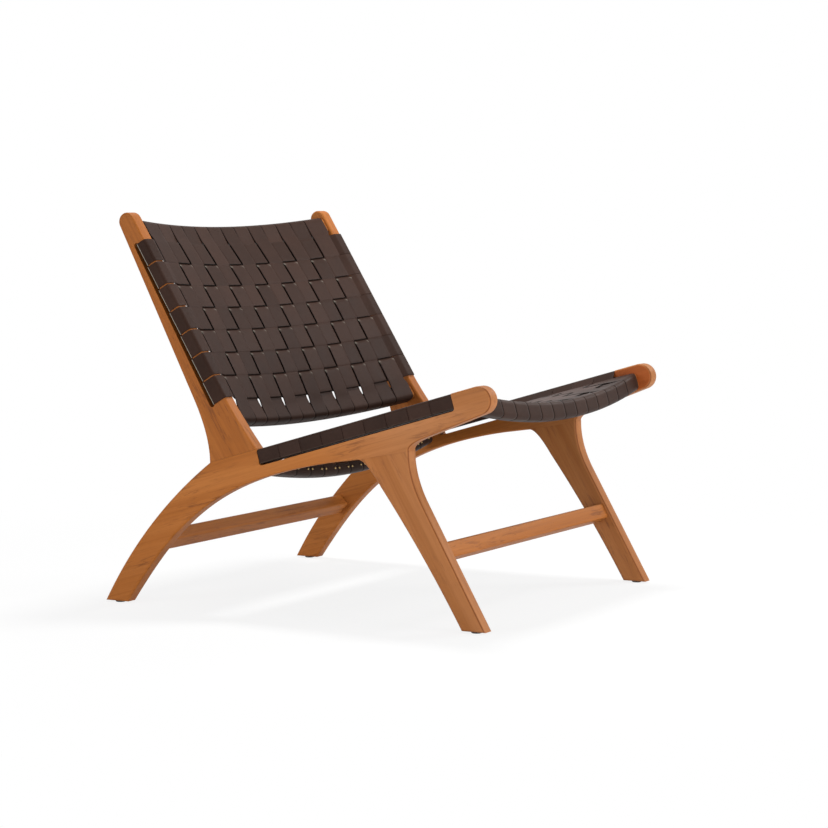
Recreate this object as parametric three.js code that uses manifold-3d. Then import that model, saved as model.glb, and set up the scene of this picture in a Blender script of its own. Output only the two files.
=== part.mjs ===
// A low wooden lounge chair whose seat and back are woven from leather straps.
// Millimetres, +Z up. The sitter faces -Y, and the origin is on the floor under the middle of the chair.
import * as THREE from "three";
import { mergeVertices } from "three/addons/utils/BufferGeometryUtils.js";
import Module from "manifold-3d";

const wasm = await Module();
wasm.setup();

// Timber
const CHAIR_WIDTH = 690; // outside to outside of the two side frames
const TIMBER = 28; // thickness of every member of a side frame
const EDGE_ROUND = 4; // rounding along the edges of the timber
const GLUE_LINE = 0.3; // play on every face of a glued joint
const TENON_THICKNESS = 10; // tenons that join the members of one side frame
const TENON_LENGTH = 14; // how far the cross rails and stretchers enter the side frames
const TENON_SHOULDER = 4; // step from a cross rail's face to its tenon

// Seat rail and rear leg: one bent member on each side
const RAIL_PITCH = 16.2; // degrees that the seat rail climbs towards its nose
const RAIL_LENGTH = 565; // from the corner above the rear leg to the tip of the nose
const RAIL_NOSE = 24; // radius of the rounded front end
const RAIL_TAPER = 0.1; // gain in depth for each millimetre back from the nose
const CORNER_BACK = 162; // where the rail's top meets the rear leg's back, behind the chair's middle
const CORNER_HEIGHT = 258; // height of that corner above the soles
const HEEL_BACK = 385; // back of the rear foot, behind the chair's middle
const REAR_FOOT = 47; // length of the rear sole
const REAR_LEG_BOW = 18.5; // how far the back of the rear leg bows out of a straight line
const ARCH_END = 240; // where the arch runs out under the rail, measured from the corner
const ARCH_DEPTH = 57.5; // depth of the rail there
const ARCH_PITCH = 9.5; // degrees of the underside there
const ARCH_SHIN = 55; // degrees at which the arch leaves the rear sole
const ARCH_SHIN_PULL = 180; // length of the arch's lower handle
const ARCH_RAIL_PULL = 245; // length of the arch's upper handle

// Front leg
const LEG_JOINT_REAR = 290; // back end of its joint with the rail, measured from the corner
const LEG_JOINT_FRONT = 391; // front end of that joint
const LEG_JOINT_REAR_DEPTH = 64.5; // depth of the joint under the rail's top, at the back
const LEG_JOINT_FRONT_DEPTH = 74; // and at the front
const LEG_FILLET_RUN = 15; // run of the rear fillet along the joint
const LEG_FILLET_DROP = 57; // run of the rear fillet down the leg
const LEG_BACK_BOW = 4; // hollow of the leg's back edge
const LEG_SHOULDER_DROP = 44; // where the leg's front edge turns upright, below the joint
const LEG_SHOULDER_RUN = 52; // length of that turn down the leg
const NOSE_FILLET = 33; // run of the fillet between the leg's front and the rail's underside
const FRONT_TOE = 378; // front of the front foot, ahead of the chair's middle
const FRONT_FOOT = 44; // length of the front sole
const LEG_TENON_WIDTH = 56;
const LEG_TENON_HEIGHT = 20;

// Back post
const BACK_RECLINE = 58.73; // degrees of the post's front edge from the floor
const BACK_SETBACK = 33; // foot of the woven back, ahead of the rail's corner
const BACK_RISE = 114; // foot of the woven back, above the rail's corner
const POST_FOOT = 100; // length of the post's joint on the rail
const POST_FLARE = 36; // how far below the weave the front edge starts to flare
const POST_KNEE = 30; // height on the post where its back edge starts to swell
const POST_KNEE_WIDTH = 58;
const POST_TOP = 383; // top of the post, measured from the foot of the weave
const POST_TOP_WIDTH = 32.5;
const POST_TENON_START = 16; // from the corner
const POST_TENON_WIDTH = 40;
const POST_TENON_HEIGHT = 22;

// Straps
const STRAP_WIDTH = 41.5;
const STRAP_THICKNESS = 2;
const STRAP_CLEARANCE = 0.3; // between a strap and what it lies on
const BACK_TAIL = 12; // end of a cross strap of the back behind its slot, turned away from the weave
const SEAT_TAIL = 9; // and of the seat, turned up under the weave
const RAIL_TAIL_TOP = 6; // end of a lengthwise strap below the top of its rail
const LONG_PLAY = 3.1; // spare room where a strap passes between two lengthwise straps
const BACK_CROSS_PLAY = 2.5; // and between two cross straps of the back
const SEAT_CROSS_PLAY = 0.3; // and between two cross straps of the seat
const SIDE_ROOM = 9; // least room between the lengthwise straps and the side frames
const LACE_SLOT = 10; // width of the slots that the cross straps go into
const LACE_PLAY = 1; // between a strap and the lip of its slot that it is drawn against
const SLOT_OVERRUN = 1; // how far a slot and its rebate run past the straps

// Woven back: lengths run up the posts from the foot of the weave
const BACK_WEAVE = 322; // height that the cross straps cover
const BACK_DROP = 4; // the weave's edges lie this far behind the posts' front
const BACK_SAG = 29; // hollow of the back at its rails
const BACK_MIDDLE_SAG = 17; // and halfway between them, where the cross straps draw it up
const BACK_SLOT_LOW = 23.5; // slot behind the post's front edge, at the foot of the weave
const BACK_SLOT_HIGH = 14; // and at its top
const TOP_RAIL_GAP = 8; // from the weave to the top rail
const TOP_RAIL_HEIGHT = 29;
const TOP_RAIL_DEPTH = 20;
const BOTTOM_RAIL_GAP = 16; // from the weave to the bottom rail
const BOTTOM_RAIL_HEIGHT = 22.5;
const BOTTOM_RAIL_DEPTH = 24;
const RAIL_ROUND = 5; // rounding of the rails under the leather

// Woven seat: lengths run back along the seat rails from their corner, so the seat lies at minus
const SEAT_WEAVE_FRONT = 494; // front edge of the foremost cross strap, ahead of the corner
const SEAT_WEAVE = 393; // length that the cross straps cover
const SEAT_DROP = 14; // the weave's edges lie this far below the rails' top
const SEAT_SAG = 31; // dish of the seat at its rails
const SEAT_MIDDLE_SAG = 18; // and halfway between them
const SEAT_SLOT_DEPTH = 19.5; // slot below the rail's top
const LACE_RECESS = 2.6; // rebate that sinks the straps into the rail
const FRONT_RAIL_GAP = 20; // from the weave to the front rail
const FRONT_RAIL_WIDTH = 22;
const FRONT_RAIL_DEPTH = 28.5;
const REAR_RAIL_GAP = 16; // from the weave to the rear rail
const REAR_RAIL_WIDTH = 24;
const REAR_RAIL_DEPTH = 20.5;

// Stretchers between the legs, turned to follow them
const STRETCHER_HEIGHT = 29;
const STRETCHER_THICKNESS = 26.5;
const STRETCHER_ROUND = 4;
const FRONT_STRETCHER_UP = 155; // its middle, up the front edge of the front leg
const FRONT_STRETCHER_INSET = 6; // its face, behind that edge
const REAR_STRETCHER_UP = 120; // its middle, up the front edge of the rear leg
const REAR_STRETCHER_INSET = 10; // its face, behind that edge

// Nail-on glides
const GLIDE_HEIGHT = 3;
const GLIDE_RADIUS = 9;
const GLIDE_CHAMFER = 1;
const GLIDE_NAIL_RADIUS = 1.5;
const GLIDE_NAIL_LENGTH = 14;
const GLIDE_SIDES = 12; // flat sides that stand for its round

const CURVE_TOLERANCE = 0.45; // how far an outline may stray from its curves
const ROUND_STEPS = 2; // straight pieces in each rounded edge
const RAIL_STEPS = 1; // and in the rails' edges, which lie under the leather
const OVERCUT = 1; // how far a cutting body runs past what it cuts

const TEAK = "#a9672f";
const LEATHER = "#4b3c36";
const GLIDE_BLACK = "#1d1b1a";
const TEAK_ROUGHNESS = 0.55;
const LEATHER_ROUGHNESS = 0.5;
const GLIDE_ROUGHNESS = 0.6;

const DEGREE = Math.PI / 180;

const INNER = CHAIR_WIDTH / 2 - TIMBER; // inner face of a side frame
const OUTER = CHAIR_WIDTH / 2;
const STRAP_OFFSET = STRAP_CLEARANCE + STRAP_THICKNESS / 2; // from a face to the middle of a strap on it
const CROSSING_LEVEL = (STRAP_CLEARANCE + STRAP_THICKNESS) / 2; // middle of a strap to the weave's middle

// Solids and their joins

const X_AXIS = new THREE.Vector3(1, 0, 0);
const Y_AXIS = new THREE.Vector3(0, 1, 0);
const Z_AXIS = new THREE.Vector3(0, 0, 1);
// A drawing in (y, z) pushed along x, and a drawing in (x, z) pushed along -y
const PUSHED_ACROSS = new THREE.Matrix4().makeBasis(Y_AXIS, Z_AXIS, X_AXIS);
const PUSHED_FORWARD = new THREE.Matrix4().makeBasis(X_AXIS, Z_AXIS, Y_AXIS.clone().negate());

function solid(geometry) {
  const loose = geometry.index ? geometry.toNonIndexed() : geometry;
  const bare = new THREE.BufferGeometry();
  bare.setAttribute("position", loose.getAttribute("position"));
  const merged = mergeVertices(bare, 1e-4);
  return new wasm.Manifold(
    new wasm.Mesh({
      numProp: 3,
      vertProperties: merged.getAttribute("position").array,
      triVerts: new Uint32Array(merged.index.array),
    }),
  );
}

function geometryOf(manifold) {
  const mesh = manifold.getMesh();
  const geometry = new THREE.BufferGeometry();
  geometry.setAttribute("position", new THREE.BufferAttribute(mesh.vertProperties, 3));
  geometry.setIndex(new THREE.BufferAttribute(mesh.triVerts, 1));
  geometry.computeVertexNormals();
  return geometry;
}

// A drawing in (y, z) pushed from one x to another, with its edges rounded where round is given
function slab(shape, from, to, round = 0) {
  const geometry = new THREE.ExtrudeGeometry(shape, {
    depth: to - from - 2 * round,
    bevelEnabled: round > 0,
    bevelThickness: round,
    bevelSize: round,
    bevelOffset: -round,
    bevelSegments: ROUND_STEPS,
  });
  geometry.translate(0, 0, from + round);
  return geometry.applyMatrix4(PUSHED_ACROSS);
}

function polygon(points) {
  return new THREE.Shape(points.map(([a, b]) => new THREE.Vector2(a, b)));
}

// The same outline, closed, in straight pieces and no more of them than its curves need
function followed(shape) {
  shape.closePath();
  const strays = (curve, steps) => {
    const points = curve.getPoints(steps);
    return points.slice(1).some((point, k) => {
      const middle = point.clone().lerp(points[k], 0.5);
      return middle.distanceTo(curve.getPoint((k + 0.5) / steps)) > CURVE_TOLERANCE;
    });
  };
  const pieces = shape.curves.flatMap((curve) => {
    let steps = 1;
    while (strays(curve, steps)) steps += 1;
    return curve.getPoints(steps).slice(0, -1);
  });
  return new THREE.Shape(pieces);
}

function block(x0, x1, y0, y1, z0, z1) {
  const geometry = new THREE.BoxGeometry(x1 - x0, y1 - y0, z1 - z0);
  return geometry.translate((x0 + x1) / 2, (y0 + y1) / 2, (z0 + z1) / 2);
}

// A long hole with round ends, from one point to another
function slotShape(start, end, width) {
  const along = Math.atan2(end.y - start.y, end.x - start.x);
  const shape = new THREE.Shape();
  shape.absarc(end.x, end.y, width / 2, along - Math.PI / 2, along + Math.PI / 2, false);
  shape.absarc(start.x, start.y, width / 2, along + Math.PI / 2, along + 1.5 * Math.PI, false);
  return followed(shape);
}

// Places on a side frame, seen from the side as (y, z)

const pitch = RAIL_PITCH * DEGREE;
const recline = BACK_RECLINE * DEGREE;
const seatFrame = new THREE.Matrix4().makeRotationX(-pitch);
seatFrame.setPosition(0, CORNER_BACK, CORNER_HEIGHT);
const backFrame = new THREE.Matrix4().makeRotationX(recline);
backFrame.setPosition(0, CORNER_BACK - BACK_SETBACK, CORNER_HEIGHT + BACK_RISE);

function sidePoint(frame, along, out) {
  const point = new THREE.Vector3(0, along, out).applyMatrix4(frame);
  return new THREE.Vector2(point.y, point.z);
}

// On the seat rail: distance ahead of the corner, and depth below the rail's top
function onRail(ahead, depth) {
  return sidePoint(seatFrame, -ahead, -depth);
}

// On the back post: height from the foot of the weave, and distance behind the front edge
function onPost(height, behind) {
  return sidePoint(backFrame, height, -behind);
}

// The point of the line from a to b at a given distance from a, stepped aside to the left of it
function along(a, b, distance, aside = 0) {
  const way = b.clone().sub(a).normalize();
  const left = new THREE.Vector2(-way.y, way.x);
  return a.clone().addScaledVector(way, distance).addScaledVector(left, aside);
}

// The point at a distance from another, in a direction given in degrees
function turned(from, degrees, distance) {
  return new THREE.Vector2(distance, 0).rotateAround(new THREE.Vector2(), degrees * DEGREE).add(from);
}

const noseAhead = RAIL_LENGTH - RAIL_NOSE;
const railDepthAt = (ahead) => 2 * RAIL_NOSE + (noseAhead - ahead) * RAIL_TAPER;
const corner = onRail(0, 0);
const postFootFront = onRail(POST_FOOT, 0);
const nose = onRail(noseAhead, RAIL_NOSE);
const heel = new THREE.Vector2(HEEL_BACK, 0);
const rearToe = new THREE.Vector2(HEEL_BACK - REAR_FOOT, 0);
const frontToe = new THREE.Vector2(-FRONT_TOE, 0);
const frontHeel = new THREE.Vector2(FRONT_FOOT - FRONT_TOE, 0);
const jointRear = onRail(LEG_JOINT_REAR, LEG_JOINT_REAR_DEPTH);
const jointFront = onRail(LEG_JOINT_FRONT, LEG_JOINT_FRONT_DEPTH);
const filletCorner = along(jointRear, jointFront, LEG_FILLET_RUN);
const filletEnd = along(filletCorner, frontHeel, LEG_FILLET_DROP);
const shoulderCorner = new THREE.Vector2(jointFront.x, jointFront.y - LEG_SHOULDER_DROP);
const shoulderStart = along(shoulderCorner, frontToe, LEG_SHOULDER_RUN);
const postKnee = onPost(POST_KNEE, POST_KNEE_WIDTH);
const postTopCentre = onPost(POST_TOP - POST_TOP_WIDTH / 2, POST_TOP_WIDTH / 2);
const postTopBack = onPost(POST_TOP - POST_TOP_WIDTH / 2, POST_TOP_WIDTH);
const archEnd = onRail(ARCH_END, ARCH_DEPTH);
const archUpper = turned(archEnd, -ARCH_PITCH, ARCH_RAIL_PULL);
const archLower = turned(rearToe, 180 - ARCH_SHIN, ARCH_SHIN_PULL);

// Where the swelling back edge of the post would meet an upright line through the corner
function postHollow() {
  const way = postKnee.clone().sub(postTopBack);
  const share = (corner.x - postKnee.x) / way.x;
  return new THREE.Vector2(corner.x, postKnee.y + way.y * share);
}

// The middle of an edge pulled aside, as the handle of a curve that bows by that much
function bowed(a, b, bow) {
  return along(a, b, a.distanceTo(b) / 2, 2 * bow);
}

// One side frame's outline: rear leg, post, seat rail and front leg, going up from the heel
function sideOutline() {
  const shape = new THREE.Shape();
  const to = (p) => shape.lineTo(p.x, p.y);
  const bend = (handle, p) => shape.quadraticCurveTo(handle.x, handle.y, p.x, p.y);
  shape.moveTo(heel.x, heel.y);
  bend(bowed(heel, corner, -REAR_LEG_BOW), corner);
  bend(postHollow(), postKnee);
  const round = [recline - Math.PI / 2, recline + Math.PI / 2];
  shape.absarc(postTopCentre.x, postTopCentre.y, POST_TOP_WIDTH / 2, ...round);
  to(onPost(0, 0));
  bend(onPost(-POST_FLARE, 0), postFootFront);
  const up = Math.PI / 2 - pitch;
  shape.absarc(nose.x, nose.y, RAIL_NOSE, up, up + Math.PI - Math.atan(RAIL_TAPER));
  const filletFront = LEG_JOINT_FRONT + NOSE_FILLET;
  to(onRail(filletFront, railDepthAt(filletFront)));
  bend(onRail(LEG_JOINT_FRONT, railDepthAt(LEG_JOINT_FRONT)), jointFront);
  bend(shoulderCorner, shoulderStart);
  to(frontToe);
  to(frontHeel);
  bend(bowed(frontHeel, filletEnd, LEG_BACK_BOW), filletEnd);
  bend(filletCorner, jointRear);
  to(archEnd);
  shape.bezierCurveTo(archUpper.x, archUpper.y, archLower.x, archLower.y, rearToe.x, rearToe.y);
  return followed(shape);
}

// Woven panels. Each lies in its own frame: x across, y along it, z out towards the sitter.

const longGap = STRAP_THICKNESS + LONG_PLAY;
const longPitch = STRAP_WIDTH + longGap;
const longCount = 1 + 2 * Math.floor((INNER - SIDE_ROOM - STRAP_WIDTH / 2) / longPitch); // odd, so it mirrors
const longPlace = (i) => (i - (longCount - 1) / 2) * longPitch;

const back = {
  name: "back",
  frame: backFrame,
  start: 0,
  length: BACK_WEAVE,
  crossGap: STRAP_THICKNESS + BACK_CROSS_PLAY,
  drop: BACK_DROP,
  sag: BACK_SAG,
  middleSag: BACK_MIDDLE_SAG,
  tail: -BACK_TAIL,
  sideFace: 0,
  sideOuter: OUTER,
  slotAt: (y) => THREE.MathUtils.mapLinear(y, 0, BACK_WEAVE, BACK_SLOT_LOW, BACK_SLOT_HIGH),
  lowRail: {
    name: "back_bottom_rail",
    gap: BOTTOM_RAIL_GAP,
    run: BOTTOM_RAIL_HEIGHT,
    depth: BOTTOM_RAIL_DEPTH,
  },
  highRail: {
    name: "back_top_rail",
    gap: TOP_RAIL_GAP,
    run: TOP_RAIL_HEIGHT,
    depth: TOP_RAIL_DEPTH,
  },
};
const seat = {
  name: "seat",
  frame: seatFrame,
  start: -SEAT_WEAVE_FRONT,
  length: SEAT_WEAVE,
  crossGap: STRAP_THICKNESS + SEAT_CROSS_PLAY,
  drop: SEAT_DROP,
  sag: SEAT_SAG,
  middleSag: SEAT_MIDDLE_SAG,
  tail: SEAT_TAIL,
  sideFace: -LACE_RECESS,
  sideOuter: OUTER - LACE_RECESS,
  slotAt: () => SEAT_SLOT_DEPTH,
  lowRail: {
    name: "seat_front_rail",
    gap: FRONT_RAIL_GAP,
    run: FRONT_RAIL_WIDTH,
    depth: FRONT_RAIL_DEPTH,
  },
  highRail: {
    name: "seat_rear_rail",
    gap: REAR_RAIL_GAP,
    run: REAR_RAIL_WIDTH,
    depth: REAR_RAIL_DEPTH,
  },
};

for (const panel of [back, seat]) {
  const crossPitch = STRAP_WIDTH + panel.crossGap;
  panel.crossCount = Math.floor((panel.length + panel.crossGap) / crossPitch);
  panel.crossPlace = (j) => panel.start + panel.length / 2 + (j - (panel.crossCount - 1) / 2) * crossPitch;
  panel.hollow = (x) => -panel.drop - panel.sag * (1 - (x / INNER) ** 2);
  panel.lowRail.y0 = panel.start - panel.lowRail.gap - panel.lowRail.run;
  panel.highRail.y0 = panel.start + panel.length + panel.highRail.gap;
}

// The flat that a lengthwise strap lies on: a chord of the panel's hollow
function chord(panel, i) {
  const x = longPlace(i);
  const low = panel.hollow(x - longPitch / 2);
  const high = panel.hollow(x + longPitch / 2);
  return { x, z: (low + high) / 2, angle: Math.atan2(high - low, longPitch) };
}

// A strap steps from one face of the weave to the other inside a gap. It leaves its flat a little
// past the edge that it lies on, so that the inside of its bend just clears that edge.
function stepLead(gap) {
  const half = STRAP_THICKNESS / 2;
  const reach = Math.sqrt(gap ** 2 - STRAP_THICKNESS ** 2 + STRAP_CLEARANCE ** 2);
  return (half * (gap - reach)) / (STRAP_THICKNESS - STRAP_CLEARANCE);
}

// Which straps lie on the sitter's side: the lengthwise ones at every second crossing
const longOnTop = (i, j) => (i + j) % 2 === 0;

// The corners of a bend round a centre, drawn outside its circle so that each side touches it
function bendAround(centre, radius, from, to, steps) {
  const step = (to - from) / steps;
  const reach = radius / Math.cos(step / 2);
  return Array.from({ length: steps }, (_, k) => {
    const angle = from + (k + 0.5) * step;
    return new THREE.Vector2(centre.x + reach * Math.cos(angle), centre.y + reach * Math.sin(angle));
  });
}

// A band of even thickness along a path in (x, y), with mitred bends: four faces to each length of it
// and one at each end. Where two bands lie on each other, their faces are parted along the same line.
function strapBand(path) {
  const half = STRAP_THICKNESS / 2;
  const normal = (a, b) => {
    const way = b.clone().sub(a).normalize();
    return new THREE.Vector2(-way.y, way.x);
  };
  const edge = (side) =>
    path.map((point, k) => {
      const before = normal(path[Math.max(k - 1, 0)], path[Math.max(k, 1)]);
      const after = normal(path[Math.min(k, path.length - 2)], path[Math.min(k + 1, path.length - 1)]);
      const mitre = before.clone().add(after);
      mitre.multiplyScalar((side * half * 2) / mitre.lengthSq());
      return point.clone().add(mitre);
    });
  const upper = edge(1);
  const lower = edge(-1);
  const side = STRAP_WIDTH / 2;
  const corners = path.flatMap((_, k) => [upper[k], upper[k], lower[k], lower[k]]);
  const points = corners.flatMap((corner, k) => [corner.x, corner.y, k % 2 ? side : -side]);
  const faces = [];
  const face = (a, b, c, d) => faces.push(a, b, c, a, c, d);
  for (let k = 0; k < points.length / 3 - 4; k += 4) {
    face(k, k + 1, k + 5, k + 4); // upper
    face(k + 3, k + 2, k + 6, k + 7); // lower
    face(k, k + 4, k + 6, k + 2); // near
    face(k + 1, k + 3, k + 7, k + 5); // far
  }
  const end = points.length / 3 - 4;
  face(0, 2, 3, 1);
  face(end, end + 1, end + 3, end + 2);
  const geometry = new THREE.BufferGeometry();
  geometry.setAttribute("position", new THREE.Float32BufferAttribute(points, 3));
  return geometry.setIndex(faces).toNonIndexed();
}

// A lengthwise strap, in (y, z) on its flat: all round the low rail, through the weave, all round the high rail
function longPath(panel, i) {
  const reach = RAIL_ROUND + STRAP_OFFSET;
  const down = -Math.PI / 2;
  const up = Math.PI / 2;
  const roundRail = (rail, side) => {
    const end = side < 0 ? rail.y0 : rail.y0 + rail.run;
    const outwards = side < 0 ? -Math.PI : 0;
    const inwards = side < 0 ? 0 : -Math.PI;
    const above = side < 0 ? -up - Math.PI : up;
    const far = new THREE.Vector2(end - side * RAIL_ROUND, RAIL_ROUND - rail.depth - STRAP_OFFSET);
    const near = new THREE.Vector2(end - side * RAIL_ROUND, -RAIL_ROUND - STRAP_OFFSET);
    const leaves = new THREE.Vector2(side < 0 ? rail.y0 + rail.run : rail.y0, 0);
    const under = new THREE.Vector2(leaves.x + side * RAIL_ROUND, far.y);
    const tail = new THREE.Vector2(leaves.x - side * STRAP_OFFSET, -STRAP_OFFSET - RAIL_TAIL_TOP);
    return [
      tail,
      ...bendAround(under, reach, inwards, down, ROUND_STEPS),
      ...bendAround(far, reach, down, outwards, ROUND_STEPS),
      ...bendAround(near, reach, outwards, above, ROUND_STEPS),
      leaves,
    ];
  };
  const lead = STRAP_WIDTH / 2 + stepLead(panel.crossGap);
  const weave = [];
  for (let j = 0; j < panel.crossCount; j += 1) {
    const level = longOnTop(i, j) ? CROSSING_LEVEL : -CROSSING_LEVEL;
    weave.push(new THREE.Vector2(panel.crossPlace(j) - lead, level));
    weave.push(new THREE.Vector2(panel.crossPlace(j) + lead, level));
  }
  return [...roundRail(panel.lowRail, -1), ...weave, ...roundRail(panel.highRail, 1).reverse()];
}

// A cross strap, in (x, z): over and under the lengthwise straps, then round both side members and
// into their slots
function crossPath(panel, j) {
  const lead = STRAP_WIDTH / 2 + stepLead(longGap);
  const half = [];
  for (let i = Math.floor(longCount / 2); i < longCount; i += 1) {
    const flat = chord(panel, i);
    const level = longOnTop(i, j) ? -CROSSING_LEVEL : CROSSING_LEVEL;
    const way = new THREE.Vector2(Math.cos(flat.angle), Math.sin(flat.angle));
    const out = new THREE.Vector2(-way.y, way.x);
    const middle = new THREE.Vector2(flat.x, flat.z).addScaledVector(out, level);
    half.push(middle.clone().addScaledVector(way, -lead), middle.clone().addScaledVector(way, lead));
  }
  const weave = half.filter((point) => point.x > 0);
  const last = weave[weave.length - 1];
  const radius = EDGE_ROUND + STRAP_OFFSET;
  const innerBend = new THREE.Vector2(INNER + EDGE_ROUND, panel.sideFace - EDGE_ROUND);
  const outerBend = new THREE.Vector2(panel.sideOuter - EDGE_ROUND, panel.sideFace - EDGE_ROUND);
  const toLast = last.clone().sub(innerBend);
  const meets = Math.atan2(toLast.y, toLast.x) - Math.acos(radius / toLast.length()) + 2 * Math.PI;
  const lift = meets % (2 * Math.PI);
  const slot = -panel.slotAt(panel.crossPlace(j)) - LACE_PLAY - STRAP_THICKNESS / 2;
  const wrap = [
    ...bendAround(innerBend, radius, lift, Math.PI / 2, 1),
    ...bendAround(outerBend, radius, Math.PI / 2, 0, ROUND_STEPS),
    new THREE.Vector2(panel.sideOuter + STRAP_OFFSET, slot),
    new THREE.Vector2(INNER - STRAP_OFFSET, slot),
    new THREE.Vector2(INNER - STRAP_OFFSET, slot + panel.tail),
  ];
  const right = [...weave, ...wrap];
  const left = right.map((point) => new THREE.Vector2(-point.x, point.y)).reverse();
  return [...left, ...right];
}

// A strap drawn up with the weave: most in the middle of the panel, not at all at its rails and sides
function drawnUp(panel, geometry) {
  const rise = panel.sag - panel.middleSag;
  const from = panel.lowRail.y0 + panel.lowRail.run;
  const middle = (from + panel.highRail.y0) / 2;
  const points = geometry.getAttribute("position");
  for (let k = 0; k < points.count; k += 1) {
    const across = Math.min(Math.abs(points.getX(k) / INNER), 1);
    const along = Math.min(Math.abs((points.getY(k) - middle) / (middle - from)), 1);
    points.setZ(k, points.getZ(k) + rise * (1 - across ** 2) * (1 - along ** 2));
  }
  geometry.computeVertexNormals();
  return geometry;
}

// The tenon at the right-hand end of a hollowed rail; with play, the mortise that takes it
function railTenon(panel, rail, play = 0) {
  const top = panel.hollow(INNER) - STRAP_OFFSET - TENON_SHOULDER;
  const bottom = top - rail.depth + 2 * TENON_SHOULDER;
  const low = rail.y0 + TENON_SHOULDER;
  const high = rail.y0 + rail.run - TENON_SHOULDER;
  const root = INNER - 2 * TENON_SHOULDER;
  return block(root, INNER + TENON_LENGTH + play, low - play, high + play, bottom - play, top + play);
}

// A hollowed rail that carries the ends of the lengthwise straps, with a tenon at each end
function crossRail(panel, rail) {
  const spread = Array.from({ length: longCount + 1 }, (_, k) => longPlace(k) - longPitch / 2);
  const stations = [-OUTER, ...spread, OUTER];
  const edge = (depth) => stations.map((x) => [x, panel.hollow(x) - STRAP_OFFSET - depth]);
  const outline = polygon([...edge(rail.depth), ...edge(0).reverse()]);
  const bar = new THREE.ExtrudeGeometry(outline, {
    depth: rail.run - 2 * RAIL_ROUND,
    bevelThickness: RAIL_ROUND,
    bevelSize: RAIL_ROUND,
    bevelOffset: -RAIL_ROUND,
    bevelSegments: RAIL_STEPS,
  });
  bar.translate(0, 0, RAIL_ROUND - rail.y0 - rail.run).applyMatrix4(PUSHED_FORWARD);
  const shoulder = INNER - GLUE_LINE;
  const low = rail.y0 - OVERCUT;
  const high = rail.y0 + rail.run + OVERCUT;
  const deepest = panel.hollow(0) - STRAP_OFFSET - rail.depth;
  const between = block(-shoulder, shoulder, low, high, deepest - OVERCUT, OVERCUT);
  const tenon = railTenon(panel, rail);
  const otherTenon = tenon.clone().translate(-2 * INNER - TENON_LENGTH + 2 * TENON_SHOULDER, 0, 0);
  return solid(bar).intersect(solid(between)).add(solid(tenon)).add(solid(otherTenon));
}

// Joints inside a side frame

const tenonFrom = (INNER + OUTER - TENON_THICKNESS) / 2;
const tenonTo = (INNER + OUTER + TENON_THICKNESS) / 2;

// Everything above the rail's top line at the post, raised by the play of the joint
function postZone(play = 0) {
  const ahead = POST_FOOT + OVERCUT;
  const corners = [onRail(-HEEL_BACK, -play), onRail(ahead, -play), onRail(ahead, -CHAIR_WIDTH)];
  const outline = new THREE.Shape([...corners, onRail(-HEEL_BACK, -CHAIR_WIDTH)]);
  return solid(slab(outline, INNER - OVERCUT, OUTER + OVERCUT));
}

function postTenon(play = 0) {
  const end = POST_TENON_START + POST_TENON_WIDTH;
  const outline = new THREE.Shape([
    onRail(POST_TENON_START - play, -OVERCUT),
    onRail(POST_TENON_START - play, POST_TENON_HEIGHT + play),
    onRail(end + play, POST_TENON_HEIGHT + play),
    onRail(end + play, -OVERCUT),
  ]);
  return solid(slab(outline, tenonFrom - play, tenonTo + play));
}

// Everything below the joint of the front leg, lowered by the play of the joint
function legZone(play = 0) {
  const width = jointRear.distanceTo(jointFront);
  const rear = along(jointRear, jointFront, -OVERCUT, play);
  const front = along(jointRear, jointFront, width + OVERCUT, play);
  const outline = polygon([
    [rear.x, rear.y],
    [front.x, front.y],
    [-HEEL_BACK, front.y],
    [-HEEL_BACK, -OVERCUT],
    [rear.x, -OVERCUT],
  ]);
  return solid(slab(outline, INNER - OVERCUT, OUTER + OVERCUT));
}

function legTenon(play = 0) {
  const middle = jointRear.distanceTo(jointFront) / 2;
  const start = middle - LEG_TENON_WIDTH / 2 - play;
  const end = middle + LEG_TENON_WIDTH / 2 + play;
  const outline = new THREE.Shape([
    along(jointRear, jointFront, start, OVERCUT),
    along(jointRear, jointFront, end, OVERCUT),
    along(jointRear, jointFront, end, -LEG_TENON_HEIGHT - play),
    along(jointRear, jointFront, start, -LEG_TENON_HEIGHT - play),
  ]);
  return solid(slab(outline, tenonFrom - play, tenonTo + play));
}

// The rebate that leaves a rounded strip of the rail for the seat's cross straps
function laceRebate() {
  const top = -LACE_RECESS;
  const outer = OUTER - LACE_RECESS;
  const slotMiddle = -SEAT_SLOT_DEPTH - LACE_SLOT / 2;
  const shape = new THREE.Shape();
  shape.moveTo(INNER - OVERCUT, OVERCUT);
  shape.lineTo(INNER - OVERCUT, top - EDGE_ROUND);
  shape.absarc(INNER + EDGE_ROUND, top - EDGE_ROUND, EDGE_ROUND, Math.PI, Math.PI / 2, true);
  shape.absarc(outer - EDGE_ROUND, top - EDGE_ROUND, EDGE_ROUND, Math.PI / 2, 0, true);
  shape.lineTo(outer, slotMiddle);
  shape.lineTo(OUTER + OVERCUT, slotMiddle);
  shape.lineTo(OUTER + OVERCUT, OVERCUT);
  const run = SEAT_WEAVE + 2 * SLOT_OVERRUN;
  const cut = new THREE.ExtrudeGeometry(followed(shape), { depth: run, bevelEnabled: false });
  cut.translate(0, 0, SEAT_WEAVE_FRONT + SLOT_OVERRUN - run).applyMatrix4(PUSHED_FORWARD);
  return solid(cut.applyMatrix4(seatFrame));
}

function laceSlot(panel) {
  const low = panel.start - SLOT_OVERRUN;
  const high = panel.start + panel.length + SLOT_OVERRUN;
  const place = (y) => sidePoint(panel.frame, y, -panel.slotAt(y) - LACE_SLOT / 2);
  const outline = slotShape(place(low), place(high), LACE_SLOT);
  return solid(slab(outline, INNER - OVERCUT, OUTER + OVERCUT));
}

function mortise(panel, rail) {
  return solid(railTenon(panel, rail, GLUE_LINE).applyMatrix4(panel.frame));
}

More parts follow.
